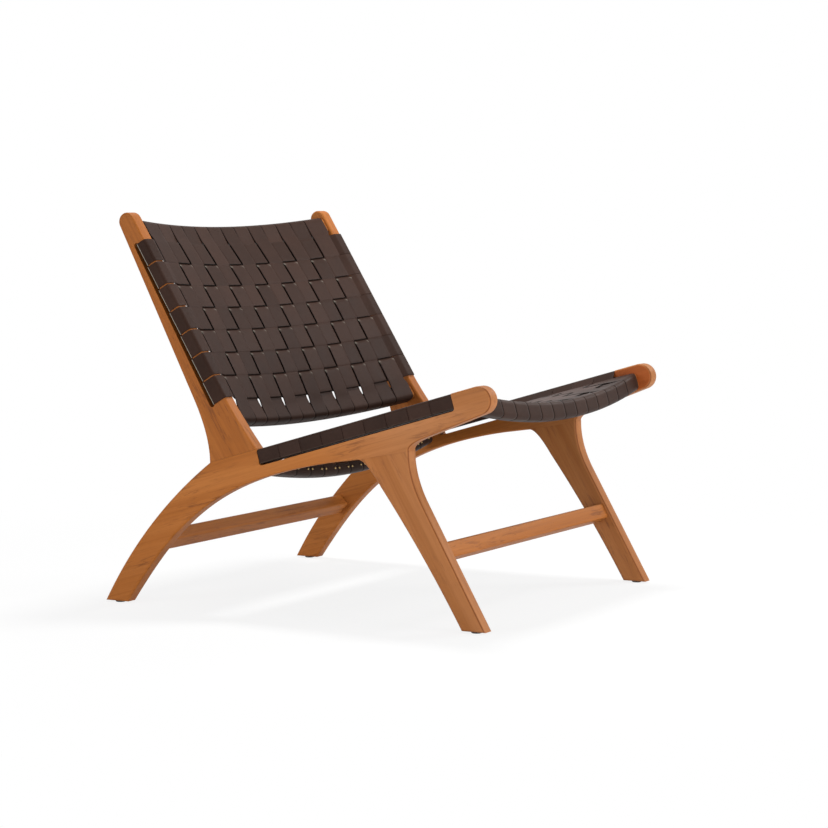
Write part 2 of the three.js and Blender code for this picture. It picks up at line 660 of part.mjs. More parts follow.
// Stretchers: a rounded bar with its height along the leg that it joins

const archCurve = new THREE.CubicBezierCurve(archEnd, archUpper, archLower, rearToe);

function stretcherFrame(onEdge, way, inset) {
  const behind = new THREE.Vector2(way.y, -way.x).multiplyScalar(inset + STRETCHER_THICKNESS / 2);
  const middle = onEdge.clone().add(behind);
  const frame = new THREE.Matrix4().makeRotationX(Math.atan2(-way.x, way.y));
  return frame.setPosition(0, middle.x, middle.y);
}

function frontStretcherFrame() {
  const onEdge = along(frontToe, shoulderCorner, FRONT_STRETCHER_UP);
  const way = shoulderCorner.clone().sub(frontToe).normalize();
  return stretcherFrame(onEdge, way, FRONT_STRETCHER_INSET);
}

function rearStretcherFrame() {
  const place = 1 - REAR_STRETCHER_UP / archCurve.getLength();
  const way = archCurve.getTangentAt(place).negate();
  return stretcherFrame(archCurve.getPointAt(place), way, REAR_STRETCHER_INSET);
}

function stretcherTenon(play = 0) {
  const deep = STRETCHER_THICKNESS / 2 - TENON_SHOULDER + play;
  const high = STRETCHER_HEIGHT / 2 - TENON_SHOULDER + play;
  const reach = INNER + TENON_LENGTH + play;
  return block(-reach, reach, -deep, deep, -high, high);
}

function stretcher() {
  const right = STRETCHER_THICKNESS / 2 - STRETCHER_ROUND;
  const top = STRETCHER_HEIGHT / 2 - STRETCHER_ROUND;
  const shape = new THREE.Shape();
  shape.absarc(right, -top, STRETCHER_ROUND, -Math.PI / 2, 0);
  shape.absarc(right, top, STRETCHER_ROUND, 0, Math.PI / 2);
  shape.absarc(-right, top, STRETCHER_ROUND, Math.PI / 2, Math.PI);
  shape.absarc(-right, -top, STRETCHER_ROUND, Math.PI, 1.5 * Math.PI);
  const shoulder = INNER - GLUE_LINE;
  const bar = new THREE.ExtrudeGeometry(shape, {
    depth: 2 * shoulder,
    curveSegments: ROUND_STEPS,
    bevelEnabled: false,
  });
  bar.translate(0, 0, -shoulder).applyMatrix4(PUSHED_ACROSS);
  return solid(bar).add(solid(stretcherTenon()));
}

// Glides: a disc with a nail that goes up into the sole

const frontGlide = { name: "front", y: (frontToe.x + frontHeel.x) / 2 };
const rearGlide = { name: "rear", y: (rearToe.x + heel.x) / 2 };
const glideX = (INNER + OUTER) / 2;

function glide() {
  const seatLevel = GLIDE_HEIGHT - GLUE_LINE;
  const profile = [
    [0, 0],
    [GLIDE_RADIUS - GLIDE_CHAMFER, 0],
    [GLIDE_RADIUS, GLIDE_CHAMFER],
    [GLIDE_RADIUS, seatLevel],
    [GLIDE_NAIL_RADIUS, seatLevel],
    [GLIDE_NAIL_RADIUS, GLIDE_HEIGHT + GLIDE_NAIL_LENGTH],
    [0, GLIDE_HEIGHT + GLIDE_NAIL_LENGTH],
  ].map(([radius, height]) => new THREE.Vector2(radius, height));
  return new THREE.LatheGeometry(profile, GLIDE_SIDES).rotateX(Math.PI / 2);
}

function nailHole(foot) {
  const radius = GLIDE_NAIL_RADIUS + GLUE_LINE;
  const depth = GLIDE_NAIL_LENGTH + GLUE_LINE;
  const hole = new THREE.CylinderGeometry(radius, radius, depth + OVERCUT, GLIDE_SIDES);
  return solid(hole.rotateX(Math.PI / 2).translate(glideX, foot.y, (depth - OVERCUT) / 2));
}

// The three members of the left-hand side frame: one outline, parted at the joints
function sideMembers() {
  const whole = solid(slab(sideOutline(), INNER, OUTER, EDGE_ROUND));
  const place = stretcherTenon(GLUE_LINE);
  const frontMortise = solid(place.clone().applyMatrix4(frontStretcherFrame()));
  const rearMortise = solid(place.clone().applyMatrix4(rearStretcherFrame()));
  const rail = whole
    .subtract(postZone())
    .subtract(legZone())
    .subtract(postTenon(GLUE_LINE))
    .subtract(legTenon(GLUE_LINE))
    .subtract(laceRebate())
    .subtract(laceSlot(seat))
    .subtract(mortise(seat, seat.lowRail))
    .subtract(mortise(seat, seat.highRail))
    .subtract(rearMortise)
    .subtract(nailHole(rearGlide));
  const leg = whole
    .intersect(legZone(GLUE_LINE))
    .add(legTenon())
    .subtract(frontMortise)
    .subtract(nailHole(frontGlide));
  const post = whole
    .intersect(postZone(GLUE_LINE))
    .add(postTenon())
    .subtract(laceSlot(back))
    .subtract(mortise(back, back.lowRail))
    .subtract(mortise(back, back.highRail));
  return { side_rail: rail, front_leg: leg, back_post: post };
}

// Assembly

const chair = new THREE.Group();
const frame = new THREE.Group();
const noseTip = nose.x - RAIL_NOSE;
frame.position.set(0, -(noseTip + HEEL_BACK) / 2, GLIDE_HEIGHT);
chair.add(frame);

function piece(parent, name, geometry, color, roughness) {
  const mesh = new THREE.Mesh(geometry, new THREE.MeshStandardMaterial({ color, roughness, metalness: 0 }));
  mesh.name = name;
  parent.add(mesh);
  return mesh;
}

const members = sideMembers();
for (const [side, mirror] of [["left", 1], ["right", -1]]) {
  const half = new THREE.Group();
  half.scale.x = mirror;
  frame.add(half);
  for (const [name, body] of Object.entries(members)) {
    piece(half, `${name}_${side}`, geometryOf(body), TEAK, TEAK_ROUGHNESS);
  }
  for (const foot of [frontGlide, rearGlide]) {
    const mesh = piece(half, `glide_${foot.name}_${side}`, glide(), GLIDE_BLACK, GLIDE_ROUGHNESS);
    mesh.position.set(glideX, foot.y, -GLIDE_HEIGHT);
  }
}

const stretchers = { front_stretcher: frontStretcherFrame(), rear_stretcher: rearStretcherFrame() };
for (const [name, place] of Object.entries(stretchers)) {
  piece(frame, name, geometryOf(stretcher()), TEAK, TEAK_ROUGHNESS).applyMatrix4(place);
}

const numbered = (k) => String(k + 1).padStart(2, "0");
for (const panel of [back, seat]) {
  const group = new THREE.Group();
  group.applyMatrix4(panel.frame);
  frame.add(group);
  for (const rail of [panel.lowRail, panel.highRail]) {
    piece(group, rail.name, geometryOf(crossRail(panel, rail)), TEAK, TEAK_ROUGHNESS);
  }
  for (let i = 0; i < longCount; i += 1) {
    const flat = chord(panel, i);
    const place = new THREE.Matrix4().makeRotationY(-flat.angle).setPosition(flat.x, 0, flat.z);
    const band = strapBand(longPath(panel, i)).applyMatrix4(PUSHED_ACROSS).applyMatrix4(place);
    const name = `${panel.name}_strap_long_${numbered(i)}`;
    piece(group, name, drawnUp(panel, band), LEATHER, LEATHER_ROUGHNESS);
  }
  for (let j = 0; j < panel.crossCount; j += 1) {
    const band = strapBand(crossPath(panel, j)).translate(0, 0, -panel.crossPlace(j)).applyMatrix4(PUSHED_FORWARD);
    const name = `${panel.name}_strap_cross_${numbered(j)}`;
    piece(group, name, drawnUp(panel, band), LEATHER, LEATHER_ROUGHNESS);
  }
}

export default chair;
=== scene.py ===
# %% [markdown]
# # A lounge chair woven from leather straps
# The real chair is two bent side frames of oiled teak, joined by two stretchers and four hidden
# rails. Wide leather straps are woven over and under each other to make its dished seat and back.
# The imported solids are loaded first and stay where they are. Every piece made below, apart from the
# tacks, stands for one of them and is drawn in the same place.

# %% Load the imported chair
import math

import bpy
import numpy as np
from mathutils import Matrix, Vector


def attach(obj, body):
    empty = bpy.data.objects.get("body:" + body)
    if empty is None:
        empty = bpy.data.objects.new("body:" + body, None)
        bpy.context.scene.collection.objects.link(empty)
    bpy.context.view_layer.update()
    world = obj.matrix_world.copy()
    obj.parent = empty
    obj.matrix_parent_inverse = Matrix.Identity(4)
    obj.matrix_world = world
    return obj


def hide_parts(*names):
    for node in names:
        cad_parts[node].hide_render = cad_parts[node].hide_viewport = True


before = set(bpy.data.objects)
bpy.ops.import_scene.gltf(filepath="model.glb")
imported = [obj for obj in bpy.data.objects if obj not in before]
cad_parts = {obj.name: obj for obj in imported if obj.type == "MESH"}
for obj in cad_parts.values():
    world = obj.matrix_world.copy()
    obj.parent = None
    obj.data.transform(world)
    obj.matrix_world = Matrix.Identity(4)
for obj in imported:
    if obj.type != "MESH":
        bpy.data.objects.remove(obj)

scene = bpy.context.scene

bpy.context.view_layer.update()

# %% [markdown]
# ## Turning arrays into pieces
# A shape here is a grid of points: rows along a path, columns round a section. Blender could build
# the same meshes face by face, but a whole grid at once is quicker to write and to change. Work is
# done in millimetres, as a maker measures, and turned into metres when the mesh is made.

# %% Grids and meshes
MM = 0.001
SHARP_FROM = 38


def tube_faces(rows, columns):
    """Squares round a closed section carried along a path, with a flat face on each end. Point (r, c) is number
    r * columns + c, and each square joins it to the next column and the next row."""
    start = np.arange((rows - 1) * columns).reshape(-1, columns)
    after = np.roll(start, -1, 1)
    squares = np.stack([start, after, after + columns, start + columns], -1).reshape(-1, 4)
    last = np.arange((rows - 1) * columns, rows * columns)
    return squares.tolist() + [np.arange(columns)[::-1].tolist(), last.tolist()]


def mesh_piece(name, points, faces, material=None, smooth=SHARP_FROM):
    """An object at the origin from points in millimetres. Edges bent by more than smooth degrees stay sharp."""
    mesh = bpy.data.meshes.new(name)
    mesh.from_pydata((np.asarray(points, float) * MM).tolist(), [], faces)
    mesh.update()
    piece = bpy.data.objects.new(name, mesh)
    scene.collection.objects.link(piece)
    finish_mesh(piece, smooth)
    if material:
        mesh.materials.append(material)
    return piece


def finish_mesh(piece, smooth=SHARP_FROM):
    """Shades the piece softly, apart from edges bent by more than smooth degrees."""
    piece.data.shade_smooth()
    piece.data.set_sharp_from_angle(angle=math.radians(smooth))


def stands_for(piece, node):
    """The piece rides on the chair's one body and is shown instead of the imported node."""
    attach(piece, "root")
    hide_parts(node)


# %% [markdown]
# ## The chair's own measures
# The side frame is drawn once, seen from the side as (y, z): +y is towards the back of the chair and
# z is up. Two tilted planes carry the weave. The seat's plane follows the top of the seat rails, and
# the back's plane follows the front of the posts. Each has x across the chair, y along the plane and
# z out towards the sitter, so that a strap can be drawn flat and then placed.

# %% Side frame measures
WIDTH, TIMBER, EDGE = 690.0, 28.0, 4.0
OUTER, INNER = WIDTH / 2, WIDTH / 2 - TIMBER
SIDES = {"left": 1, "right": -1}
JOINT = 0.3
PITCH, RECLINE = math.radians(16.2), math.radians(58.73)
RAIL_LENGTH, RAIL_NOSE, RAIL_TAPER = 565.0, 24.0, 0.1
POST_LENGTH, POST_TIP, POST_FOOT = 383.0, 16.25, 100
HEEL, REAR_FOOT, FRONT_TOE, FRONT_FOOT = 385.0, 47.0, 378.0, 44.0
GLIDE = 3.0
CORNER = np.array([162.0, 258.0])
BACK_FOOT = CORNER + [-33.0, 114.0]


def turn(angle):
    """Unit direction at an angle from +y towards +z."""
    return np.array([math.cos(angle), math.sin(angle)])


def on_rail(ahead, depth):
    """Point of the side frame a distance ahead of the corner, along the rail, and a depth below its top."""
    return CORNER + ahead * turn(math.pi - PITCH) - depth * turn(math.pi / 2 - PITCH)


def on_post(height, behind):
    """Point of the side frame a height up the post's front edge and a distance behind it."""
    return BACK_FOOT + height * turn(RECLINE) - behind * turn(RECLINE + math.pi / 2)


NOSE = on_rail(RAIL_LENGTH - RAIL_NOSE, RAIL_NOSE)
MIDDLE = np.array([-(NOSE[0] - RAIL_NOSE + HEEL) / 2, GLIDE])
print("side frame moves by", MIDDLE.round(3), "to stand over the middle of the floor")


def tilted(origin, tilt):
    """A plane for the weave: its origin and its x, y and z directions, in millimetres in the chair's frame."""
    y, z = origin + MIDDLE
    along, out = turn(tilt), turn(tilt + math.pi / 2)
    return np.array([0, y, z]), np.array([[1, 0, 0], [0, *along], [0, *out]])


SEAT, BACK = tilted(CORNER, -PITCH), tilted(BACK_FOOT, RECLINE)


def placed(plane, points):
    """Points in a plane's own x, y and z as points of the chair: origin + x X + y Y + z Z."""
    origin, axes = plane
    return origin + np.asarray(points, float) @ axes


# %% [markdown]
# ## Boards sawn to an outline
# Each side frame is sawn from boards of one thickness, and its edges are rounded over with a router.
# The same thing here: the outline is joined from straight lines, arcs and Bezier curves, and the rim
# is that outline moved inwards step by step along a quarter circle. One more ring, a little further
# in, keeps the soft shading of the rim off the flat faces.

# %% Outlines and rounded boards
def bezier(*handles, steps=24):
    """Points of a Bezier curve: the sum of its handles weighted by the Bernstein polynomials."""
    n = len(handles) - 1
    t = np.linspace(0, 1, steps + 1)[:, None]
    return sum(math.comb(n, k) * t**k * (1 - t) ** (n - k) * np.asarray(p, float) for k, p in enumerate(handles))


def arc(centre, radius, start, end, steps=24):
    """Points of a circle's arc from one angle to another."""
    a = np.linspace(start, end, steps + 1)
    return np.asarray(centre, float) + radius * np.stack([np.cos(a), np.sin(a)], -1)


def run_length(path):
    """How far along a path each of its points lies."""
    return np.concatenate([[0], np.cumsum(np.linalg.norm(np.diff(path, axis=0), axis=1))])


def outline(*runs):
    """One closed outline from runs of points, without the points that two runs share."""
    points = np.concatenate([np.atleast_2d(run) for run in runs])
    points = points[np.linalg.norm(points - np.roll(points, 1, 0), axis=1) > 1e-6]
    y, z = points.T
    area = (y * np.roll(z, -1) - z * np.roll(y, -1)).sum()
    return points if area > 0 else points[::-1]


def inset(points, amount):
    """The outline moved inwards: each point goes along its mitre, the sum of the two inward edge normals
    divided by one plus the cosine between them."""
    way = np.roll(points, -1, 0) - points
    way /= np.linalg.norm(way, axis=1)[:, None]
    after = np.stack([-way[:, 1], way[:, 0]], -1)
    before = np.roll(after, 1, 0)
    mitre = (after + before) / (1 + (after * before).sum(1))[:, None]
    return points + amount * mitre


def board(points, inner, outer, radius=EDGE, steps=6, hold=1.2):
    """Rings of a board between two x: the rim runs through a quarter circle at both faces. At the angle a
    the ring is inset by r (1 - sin a) and lies r (1 - cos a) behind the face."""
    a = np.linspace(0, math.pi / 2, steps + 1)
    insets, behind = radius * (1 - np.sin(a)), radius * (1 - np.cos(a))
    insets = np.concatenate([[radius + hold], insets, insets[::-1], [radius + hold]])
    x = np.concatenate([[inner], inner + behind, (outer - behind)[::-1], [outer]])
    rings = [np.column_stack([np.full(len(points), at), inset(points, d)]) for d, at in zip(insets, x)]
    return np.concatenate(rings), tube_faces(len(x), len(points))


def prism(points, low, high, to_chair):
    """A plain cutter: an outline pushed from one level to another, placed by the given function."""
    ring = [np.column_stack([points, np.full(len(points), level)]) for level in (low, high)]
    return to_chair(np.concatenate(ring)), tube_faces(2, len(points))


def carve(body, keep, cuts):
    """Keeps what lies inside one cutter, takes away the others, and uses up all of them."""
    tools = ([("INTERSECT", keep)] if keep else []) + [("DIFFERENCE", cut) for cut in cuts]
    for way, tool in tools:
        step = body.modifiers.new("carve", "BOOLEAN")
        step.operation, step.solver, step.object = way, "EXACT", tool
    graph = bpy.context.evaluated_depsgraph_get()
    worked = bpy.data.meshes.new_from_object(body.evaluated_get(graph))
    body.modifiers.clear()
    body.data = worked
    for _, tool in tools:
        bpy.data.objects.remove(tool)
    finish_mesh(body)
    return body


# %% [markdown]
# ## Teak
# Oiled teak is warm brown with an orange cast. Seen close, broad light and dark bands run along the
# board, with thin growth lines, patches of short dark flecks and open pores. The pattern is stretched
# noise in Object coordinates, turned to run along each member, because every member is sawn with its
# grain along its length. One node group does this, and each material turns it. The seat rails and
# front legs get a painted sheen, paler towards the front, and a painted reddish shade on the nose's inner face.

# %% Node helpers
LOOKS = {"Color": "Color", "Roughness": "Float", "Height": "Float"}


def new_material(name):
    """A material with its node tree and its shader."""
    material = bpy.data.materials.new(name)
    material.use_nodes = True
    return material, material.node_tree, material.node_tree.nodes["Principled BSDF"]


def settle(made, **settings):
    """Sets a node. Settings named in capitals are properties in lower case, others are inputs."""
    for key, value in settings.items():
        if key.isupper():
            setattr(made, key.lower(), value)
        else:
            made.inputs[key.replace("_", " ")].default_value = value
    return made


def node(tree, kind, **settings):
    """A new shader node, settled."""
    return settle(tree.nodes.new("ShaderNode" + kind), **settings)


def link(tree, *pairs):
    """Joins outputs to inputs."""
    for source, target in pairs:
        tree.links.new(source, target)


def feed(tree, sockets, values):
    """Fills inputs with numbers, with colours or from the outputs of other nodes."""
    for socket, value in zip(sockets, values):
        if isinstance(value, (int, float)):
            socket.default_value = value
        elif isinstance(value, tuple):
            socket.default_value = (*value, 1)
        else:
            tree.links.new(value, socket)


def group(name, inputs, outputs):
    """An empty shader node group with named sockets, and its two end nodes."""
    tree = bpy.data.node_groups.new(name, "ShaderNodeTree")
    for way, sockets in (("INPUT", inputs), ("OUTPUT", outputs)):
        for label, kind in sockets.items():
            tree.interface.new_socket(label, in_out=way, socket_type="NodeSocket" + kind)
    return tree, tree.nodes.new("NodeGroupInput"), tree.nodes.new("NodeGroupOutput")


def ramp(tree, source, stops):
    """A colour ramp fed by a value; stops are (place, colour)."""
    made = node(tree, "ValToRGB")
    marks = made.color_ramp.elements
    while len(marks) < len(stops):
        marks.new(0.5)
    for mark, (place, colour) in zip(marks, stops):
        mark.position = place
        mark.color = (*colour, 1) if hasattr(colour, "__len__") else (colour, colour, colour, 1)
    tree.links.new(source, made.inputs[0])
    return made.outputs[0]


def calc(tree, operation, *values, clamp=False):
    """The result of a sum or another operation on values."""
    made = node(tree, "Math", OPERATION=operation, USE_CLAMP=clamp)
    feed(tree, made.inputs, values)
    return made.outputs[0]


def product(tree, first, *others):
    """A product of values."""
    for value in others:
        first = calc(tree, "MULTIPLY", first, value)
    return first


def eased(tree, value, low, high, smooth=True, **ends):
    """A value led from 0 at low to 1 at high, softly or else straight."""
    kind = "SMOOTHSTEP" if smooth else "LINEAR"
    made = node(tree, "MapRange", INTERPOLATION_TYPE=kind, From_Min=low, From_Max=high, **ends)
    tree.links.new(value, made.inputs[0])
    return made.outputs[0]


def blend(tree, factor, a, b, kind="MIX"):
    """Two colours mixed by a factor."""
    made = node(tree, "Mix", DATA_TYPE="RGBA", BLEND_TYPE=kind)
    feed(tree, (made.inputs[0], made.inputs[6], made.inputs[7]), (factor, a, b))
    return made.outputs[2]


def tinted(tree, colour, tint):
    """A colour multiplied by another."""
    return blend(tree, 1.0, colour, tint, "MULTIPLY")


def dress(tree, shader, colour, rough, height, strength, distance):
    """Leads a colour, a roughness and a bump made from a height to the shader."""
    bump = node(tree, "Bump", Strength=strength, Distance=distance)
    tree.links.new(height, bump.inputs["Height"])
    sockets = [shader.inputs[label] for label in ("Base Color", "Roughness", "Normal")]
    feed(tree, sockets, (colour, rough, bump.outputs[0]))


# %% Teak grain
DARK_GRAIN, PORE = (0.17, 0.055, 0.016), (0.16, 0.055, 0.018)


def teak_grain():
    """Colour, roughness and height of oiled teak. The vector's x runs along the grain, in metres."""
    tree, start, end = group("teak_grain", {"Vector": "Vector"}, LOOKS)

    def streaks(along, across, detail, rough, twist=0.0):
        stretch = node(tree, "Mapping", Scale=(along, across, across))
        noise = node(tree, "TexNoise", Scale=1.0, Detail=detail, Roughness=rough, Distortion=twist)
        link(tree, (start.outputs[0], stretch.inputs["Vector"]), (stretch.outputs[0], noise.inputs["Vector"]))
        return noise.outputs[0]

    fine = streaks(5, 210, 4, 0.6, 0.3)
    bands = [(0.28, (0.345, 0.109, 0.020)), (0.5, (0.40, 0.134, 0.028)), (0.74, (0.455, 0.163, 0.039))]
    body = ramp(tree, streaks(1.6, 24, 3, 0.5, 0.4), bands)
    tint = ramp(tree, fine, [(0.3, (0.86, 0.83, 0.80)), (0.55, (1.0, 1.0, 1.0)), (0.8, (1.04, 1.05, 1.06))])
    growth = ramp(tree, streaks(2.2, 75, 3, 0.55, 0.8), [(0.60, 0.0), (0.655, 1.0), (0.67, 0.0)])
    patches = ramp(tree, streaks(7, 22, 2, 0.5), [(0.46, 0.0), (0.60, 1.0)])
    flecks = ramp(tree, streaks(17, 190, 3, 0.6, 1.2), [(0.55, 0.0), (0.63, 1.0)])
    pores = ramp(tree, streaks(70, 1400, 2, 0.5), [(0.64, 0.0), (0.74, 1.0)])
    colour = tinted(tree, body, tint)
    colour = blend(tree, product(tree, growth, 0.26), colour, DARK_GRAIN)
    colour = blend(tree, product(tree, patches, flecks, 0.62), colour, DARK_GRAIN)
    colour = blend(tree, product(tree, pores, 0.35), colour, PORE)
    rough = calc(tree, "MULTIPLY_ADD", fine, 0.16, 0.40)
    height = calc(tree, "SUBTRACT", product(tree, fine, 0.35), pores)
    feed(tree, end.inputs, (colour, rough, height))
    return tree


GRAIN = teak_grain()

# %% Teak laid along each member
TO_FRONT, NOSE_HEIGHT, INNER_FACE = (-0.02, -0.26), (0.335, 0.365), (-0.0132, -0.0138)
# Tints for the painted sheen towards the front and the painted reddish shade on the nose's inner face, and the colour
# of the dark rim line.
FRONT_SHEEN_TINT, NOSE_SHADE_TINT, RIM_LINE = (1.02, 1.2, 1.95), (0.92, 0.58, 0.38), (0.50, 0.40, 0.34)
RIM_DEPTH = 0.005


def painted_sheen_and_shade(tree, place, colour):
    """Seat rails and front legs: a painted sheen makes them paler towards the front, a painted shade makes the
    nose's inner face darker and reddish, and a dark line runs on rims that face forwards."""
    apart, facing = node(tree, "SeparateXYZ"), node(tree, "SeparateXYZ")
    normal = node(tree, "NewGeometry").outputs["Normal"]
    link(tree, (place, apart.inputs[0]), (normal, facing.inputs[0]))
    x, y, z = apart.outputs
    # Painted sheen: paler towards the front.
    front = eased(tree, y, *TO_FRONT)
    colour = blend(tree, front, colour, tinted(tree, colour, FRONT_SHEEN_TINT))
    # Painted shade: the nose's inner face, high up and towards the front, is made darker and reddish.
    off = calc(tree, "SUBTRACT", calc(tree, "ABSOLUTE", x), (INNER + TIMBER / 2) * MM)
    inner_face = eased(tree, off, *INNER_FACE, smooth=False)
    nose_shade = product(tree, inner_face, eased(tree, z, *NOSE_HEIGHT), front)
    colour = blend(tree, nose_shade, colour, tinted(tree, colour, NOSE_SHADE_TINT))
    deep = calc(tree, "SUBTRACT", TIMBER / 2 * MM, calc(tree, "ABSOLUTE", off))
    deep = calc(tree, "DIVIDE", deep, RIM_DEPTH)
    rim = ramp(tree, deep, [(0.06, 0.0), (0.22, 1.0), (0.40, 1.0), (0.62, 0.0)])
    ahead = calc(tree, "MULTIPLY", facing.outputs[1], -2.0, clamp=True)
    return blend(tree, product(tree, rim, ahead, front), colour, tinted(tree, colour, RIM_LINE))


def teak(name, tilt, turn_z, shift, tint=(1, 1, 1), paler=False):
    """Teak with its grain first tilted up from x, then swung round the upright axis, and perhaps with a painted sheen
    and shade towards the front.
    """
    material, tree, shader = new_material(name)
    place = node(tree, "TexCoord").outputs["Object"]
    lay = node(tree, "Mapping", VECTOR_TYPE="TEXTURE", Location=shift, Rotation=(0, -tilt, turn_z))
    grain = node(tree, "Group", NODE_TREE=GRAIN)
    link(tree, (place, lay.inputs["Vector"]), (lay.outputs[0], grain.inputs["Vector"]))
    colour = tinted(tree, grain.outputs["Color"], tint)
    if paler:
        colour = painted_sheen_and_shade(tree, place, colour)
    dress(tree, shader, colour, grain.outputs["Roughness"], grain.outputs["Height"], 0.22, 0.0006)
    settle(shader, Specular_IOR_Level=0.1)
    return material


QUARTER = math.pi / 2
LEG_SLOPE = math.radians(60.3)
TEAK = {
    "side_rail": teak("teak_seat_rail", -PITCH, QUARTER, (0.3, 0.1, 0.7), paler=True),
    "back_post": teak("teak_back_post", RECLINE, QUARTER, (1.3, 0.4, 0.2), tint=(0.90, 0.88, 0.86)),
    "front_leg": teak("teak_front_leg", LEG_SLOPE, QUARTER, (2.1, 0.2, 0.5), paler=True),
    "cross": teak("teak_cross_members", 0, 0, (0.6, 0.9, 0.15)),
}
print("teak laid", len(TEAK), "ways")

# %% [markdown]
# ## Side frames
# Seat rail and rear leg are one bent member. The front leg is let in below it and the back post stands
# on it. All three come out of one outline, sawn apart at the joints, so the rounded edges run through.
# The carving tools are plain prisms: two that part the members, slots for the cross straps in post and
# rail, and a rebate that sinks the leather of the seat flush with the wood.

# %% Outline of a side frame
def toward(a, b, distance, aside=0.0):
    """The point of the line from a to b at a distance from a, stepped aside to its left."""
    way = (b - a) / np.linalg.norm(b - a)
    return a + distance * way + aside * np.array([-way[1], way[0]])


REAR_TOE, TOE = np.array([HEEL - REAR_FOOT, 0]), np.array([-FRONT_TOE, 0])
LEG_FRONT, FILLET_FRONT = 391, 424
JOINT_REAR, JOINT_FRONT = on_rail(290, 64.5), on_rail(LEG_FRONT, 74)
SHOULDER, ARCH_TOP = JOINT_FRONT - [0, 44], on_rail(240, 57.5)
ARCH_UP, ARCH_LOW = 245 * turn(math.radians(-9.5)), 180 * turn(math.radians(125))
ARCH = ARCH_TOP, ARCH_TOP + ARCH_UP, REAR_TOE + ARCH_LOW, REAR_TOE


def side_outline():
    """The side frame's edge: up from the heel, over the post, along the rail, down the front leg, under the arch."""
    heel, front_heel = np.array([HEEL, 0]), np.array([FRONT_FOOT - FRONT_TOE, 0])
    tip = POST_LENGTH - POST_TIP
    knee, top_back = on_post(30, 58), on_post(tip, 2 * POST_TIP)
    waist = knee + (top_back - knee) * (CORNER[0] - knee[0]) / (top_back - knee)[0]
    underside = lambda ahead: on_rail(ahead, 2 * RAIL_NOSE + (RAIL_LENGTH - RAIL_NOSE - ahead) * RAIL_TAPER)
    fillet = toward(JOINT_REAR, JOINT_FRONT, 15)
    fillet_end = toward(fillet, front_heel, 57)
    up = QUARTER - PITCH
    bow = lambda a, b, amount: toward(a, b, np.linalg.norm(b - a) / 2, 2 * amount)
    return outline(
        bezier(heel, bow(heel, CORNER, -18.5), CORNER, steps=40),
        bezier(CORNER, waist, knee, steps=24),
        arc(on_post(tip, POST_TIP), POST_TIP, RECLINE - QUARTER, RECLINE + QUARTER, steps=28),
        bezier(on_post(0, 0), on_post(-36, 0), on_rail(POST_FOOT, 0), steps=20),
        arc(NOSE, RAIL_NOSE, up, up + math.pi - math.atan(RAIL_TAPER), steps=32),
        bezier(underside(FILLET_FRONT), underside(LEG_FRONT), JOINT_FRONT, steps=20),
        bezier(JOINT_FRONT, SHOULDER, toward(SHOULDER, TOE, 52), steps=16),
        TOE,
        bezier(front_heel, bow(front_heel, fillet_end, 4), fillet_end, steps=20),
        bezier(fillet_end, fillet, JOINT_REAR, steps=24),
        bezier(*ARCH, steps=56),
    )


SIDE = side_outline() + MIDDLE
print("side outline:", len(SIDE), "points,", (SIDE.max(0) - SIDE.min(0)).round(1), "mm long and high")


# %% Carving tools
FAR, TALL, BELOW_FLOOR, LEG_JOINT = 400, 700, -5, 103


def flat_tool(points, sign):
    """A cutter through the whole thickness of one side frame, from an outline in (y, z)."""
    points = outline(np.asarray(points) + MIDDLE)
    low, high = sorted((sign * (INNER - 2), sign * (OUTER + 2)))
    return mesh_piece("tool", *prism(points, low, high, lambda p: p[:, [2, 0, 1]]))


def post_zone(play, sign):
    """Everything above the rail's top line at the post."""
    corners = [(-FAR, -play), (POST_FOOT + 1, -play), (POST_FOOT + 1, -TALL), (-FAR, -TALL)]
    return flat_tool([on_rail(*at) for at in corners], sign)


def leg_zone(play, sign):
    """Everything below the joint of the front leg."""
    rear, front = (toward(JOINT_REAR, JOINT_FRONT, at, play) for at in (-1, LEG_JOINT))
    return flat_tool([rear, front, [-FAR, front[1]], [-FAR, BELOW_FLOOR], [rear[0], BELOW_FLOOR]], sign)


def slot_tool(ends, sign):
    """A long hole with round ends from one point to another."""
    start, end = ends
    lean = math.atan2(*(end - start)[::-1])
    rounds = [arc(at, SLOT / 2, lean + k * QUARTER, lean + (k + 2) * QUARTER, 10) for at, k in ((end, -1), (start, 1))]
    return flat_tool(np.concatenate(rounds), sign)


SLOT, RECESS = 10.0, 2.6
SLOT_IN = 4.0, 3.0
SEAT_FRONT, SEAT_LENGTH, SEAT_SLOT = -494.0, 393.0, 19.5
BACK_LENGTH, BACK_SLOT_LOW, BACK_SLOT_HIGH = 322.0, 23.5, 14.0


def rebate_tool(sign):
    """The rail's top and outer side, lowered along the weave with the corners rounded again."""
    top, outer = -RECESS, OUTER - RECESS
    section = outline(
        [INNER - 2, 2],
        arc([INNER + EDGE, top - EDGE], EDGE, math.pi, QUARTER, 8),
        arc([outer - EDGE, top - EDGE], EDGE, QUARTER, 0, 8),
        [outer, -SEAT_SLOT - SLOT / 2],
        [OUTER + 2, -SEAT_SLOT - SLOT / 2],
        [OUTER + 2, 2],
    )
    section = section if sign > 0 else outline(section * [-1, 1])
    lay = lambda p: placed(SEAT, p[:, [0, 2, 1]])
    return mesh_piece("tool", *prism(section[::-1], SEAT_FRONT - 1, SEAT_FRONT + SEAT_LENGTH + 1, lay))


# %% Saw and carve the side frames
def back_slot(y):
    """How far the post's slot lies behind the front edge at a height: straight from foot to top."""
    return BACK_SLOT_LOW + (BACK_SLOT_HIGH - BACK_SLOT_LOW) * np.asarray(y) / BACK_LENGTH


def slot_ends(kind):
    """The middles of a slot's two round ends, in (y, z), inside the weave so that no open slot shows past it."""
    if kind == "seat":
        places = -SEAT_FRONT - SLOT_IN[0], -SEAT_FRONT - SEAT_LENGTH + SLOT_IN[1]
        return [on_rail(ahead, SEAT_SLOT + SLOT / 2) for ahead in places]
    return [on_post(y, back_slot(y) + SLOT / 2) for y in (SLOT_IN[0], BACK_LENGTH - SLOT_IN[1])]


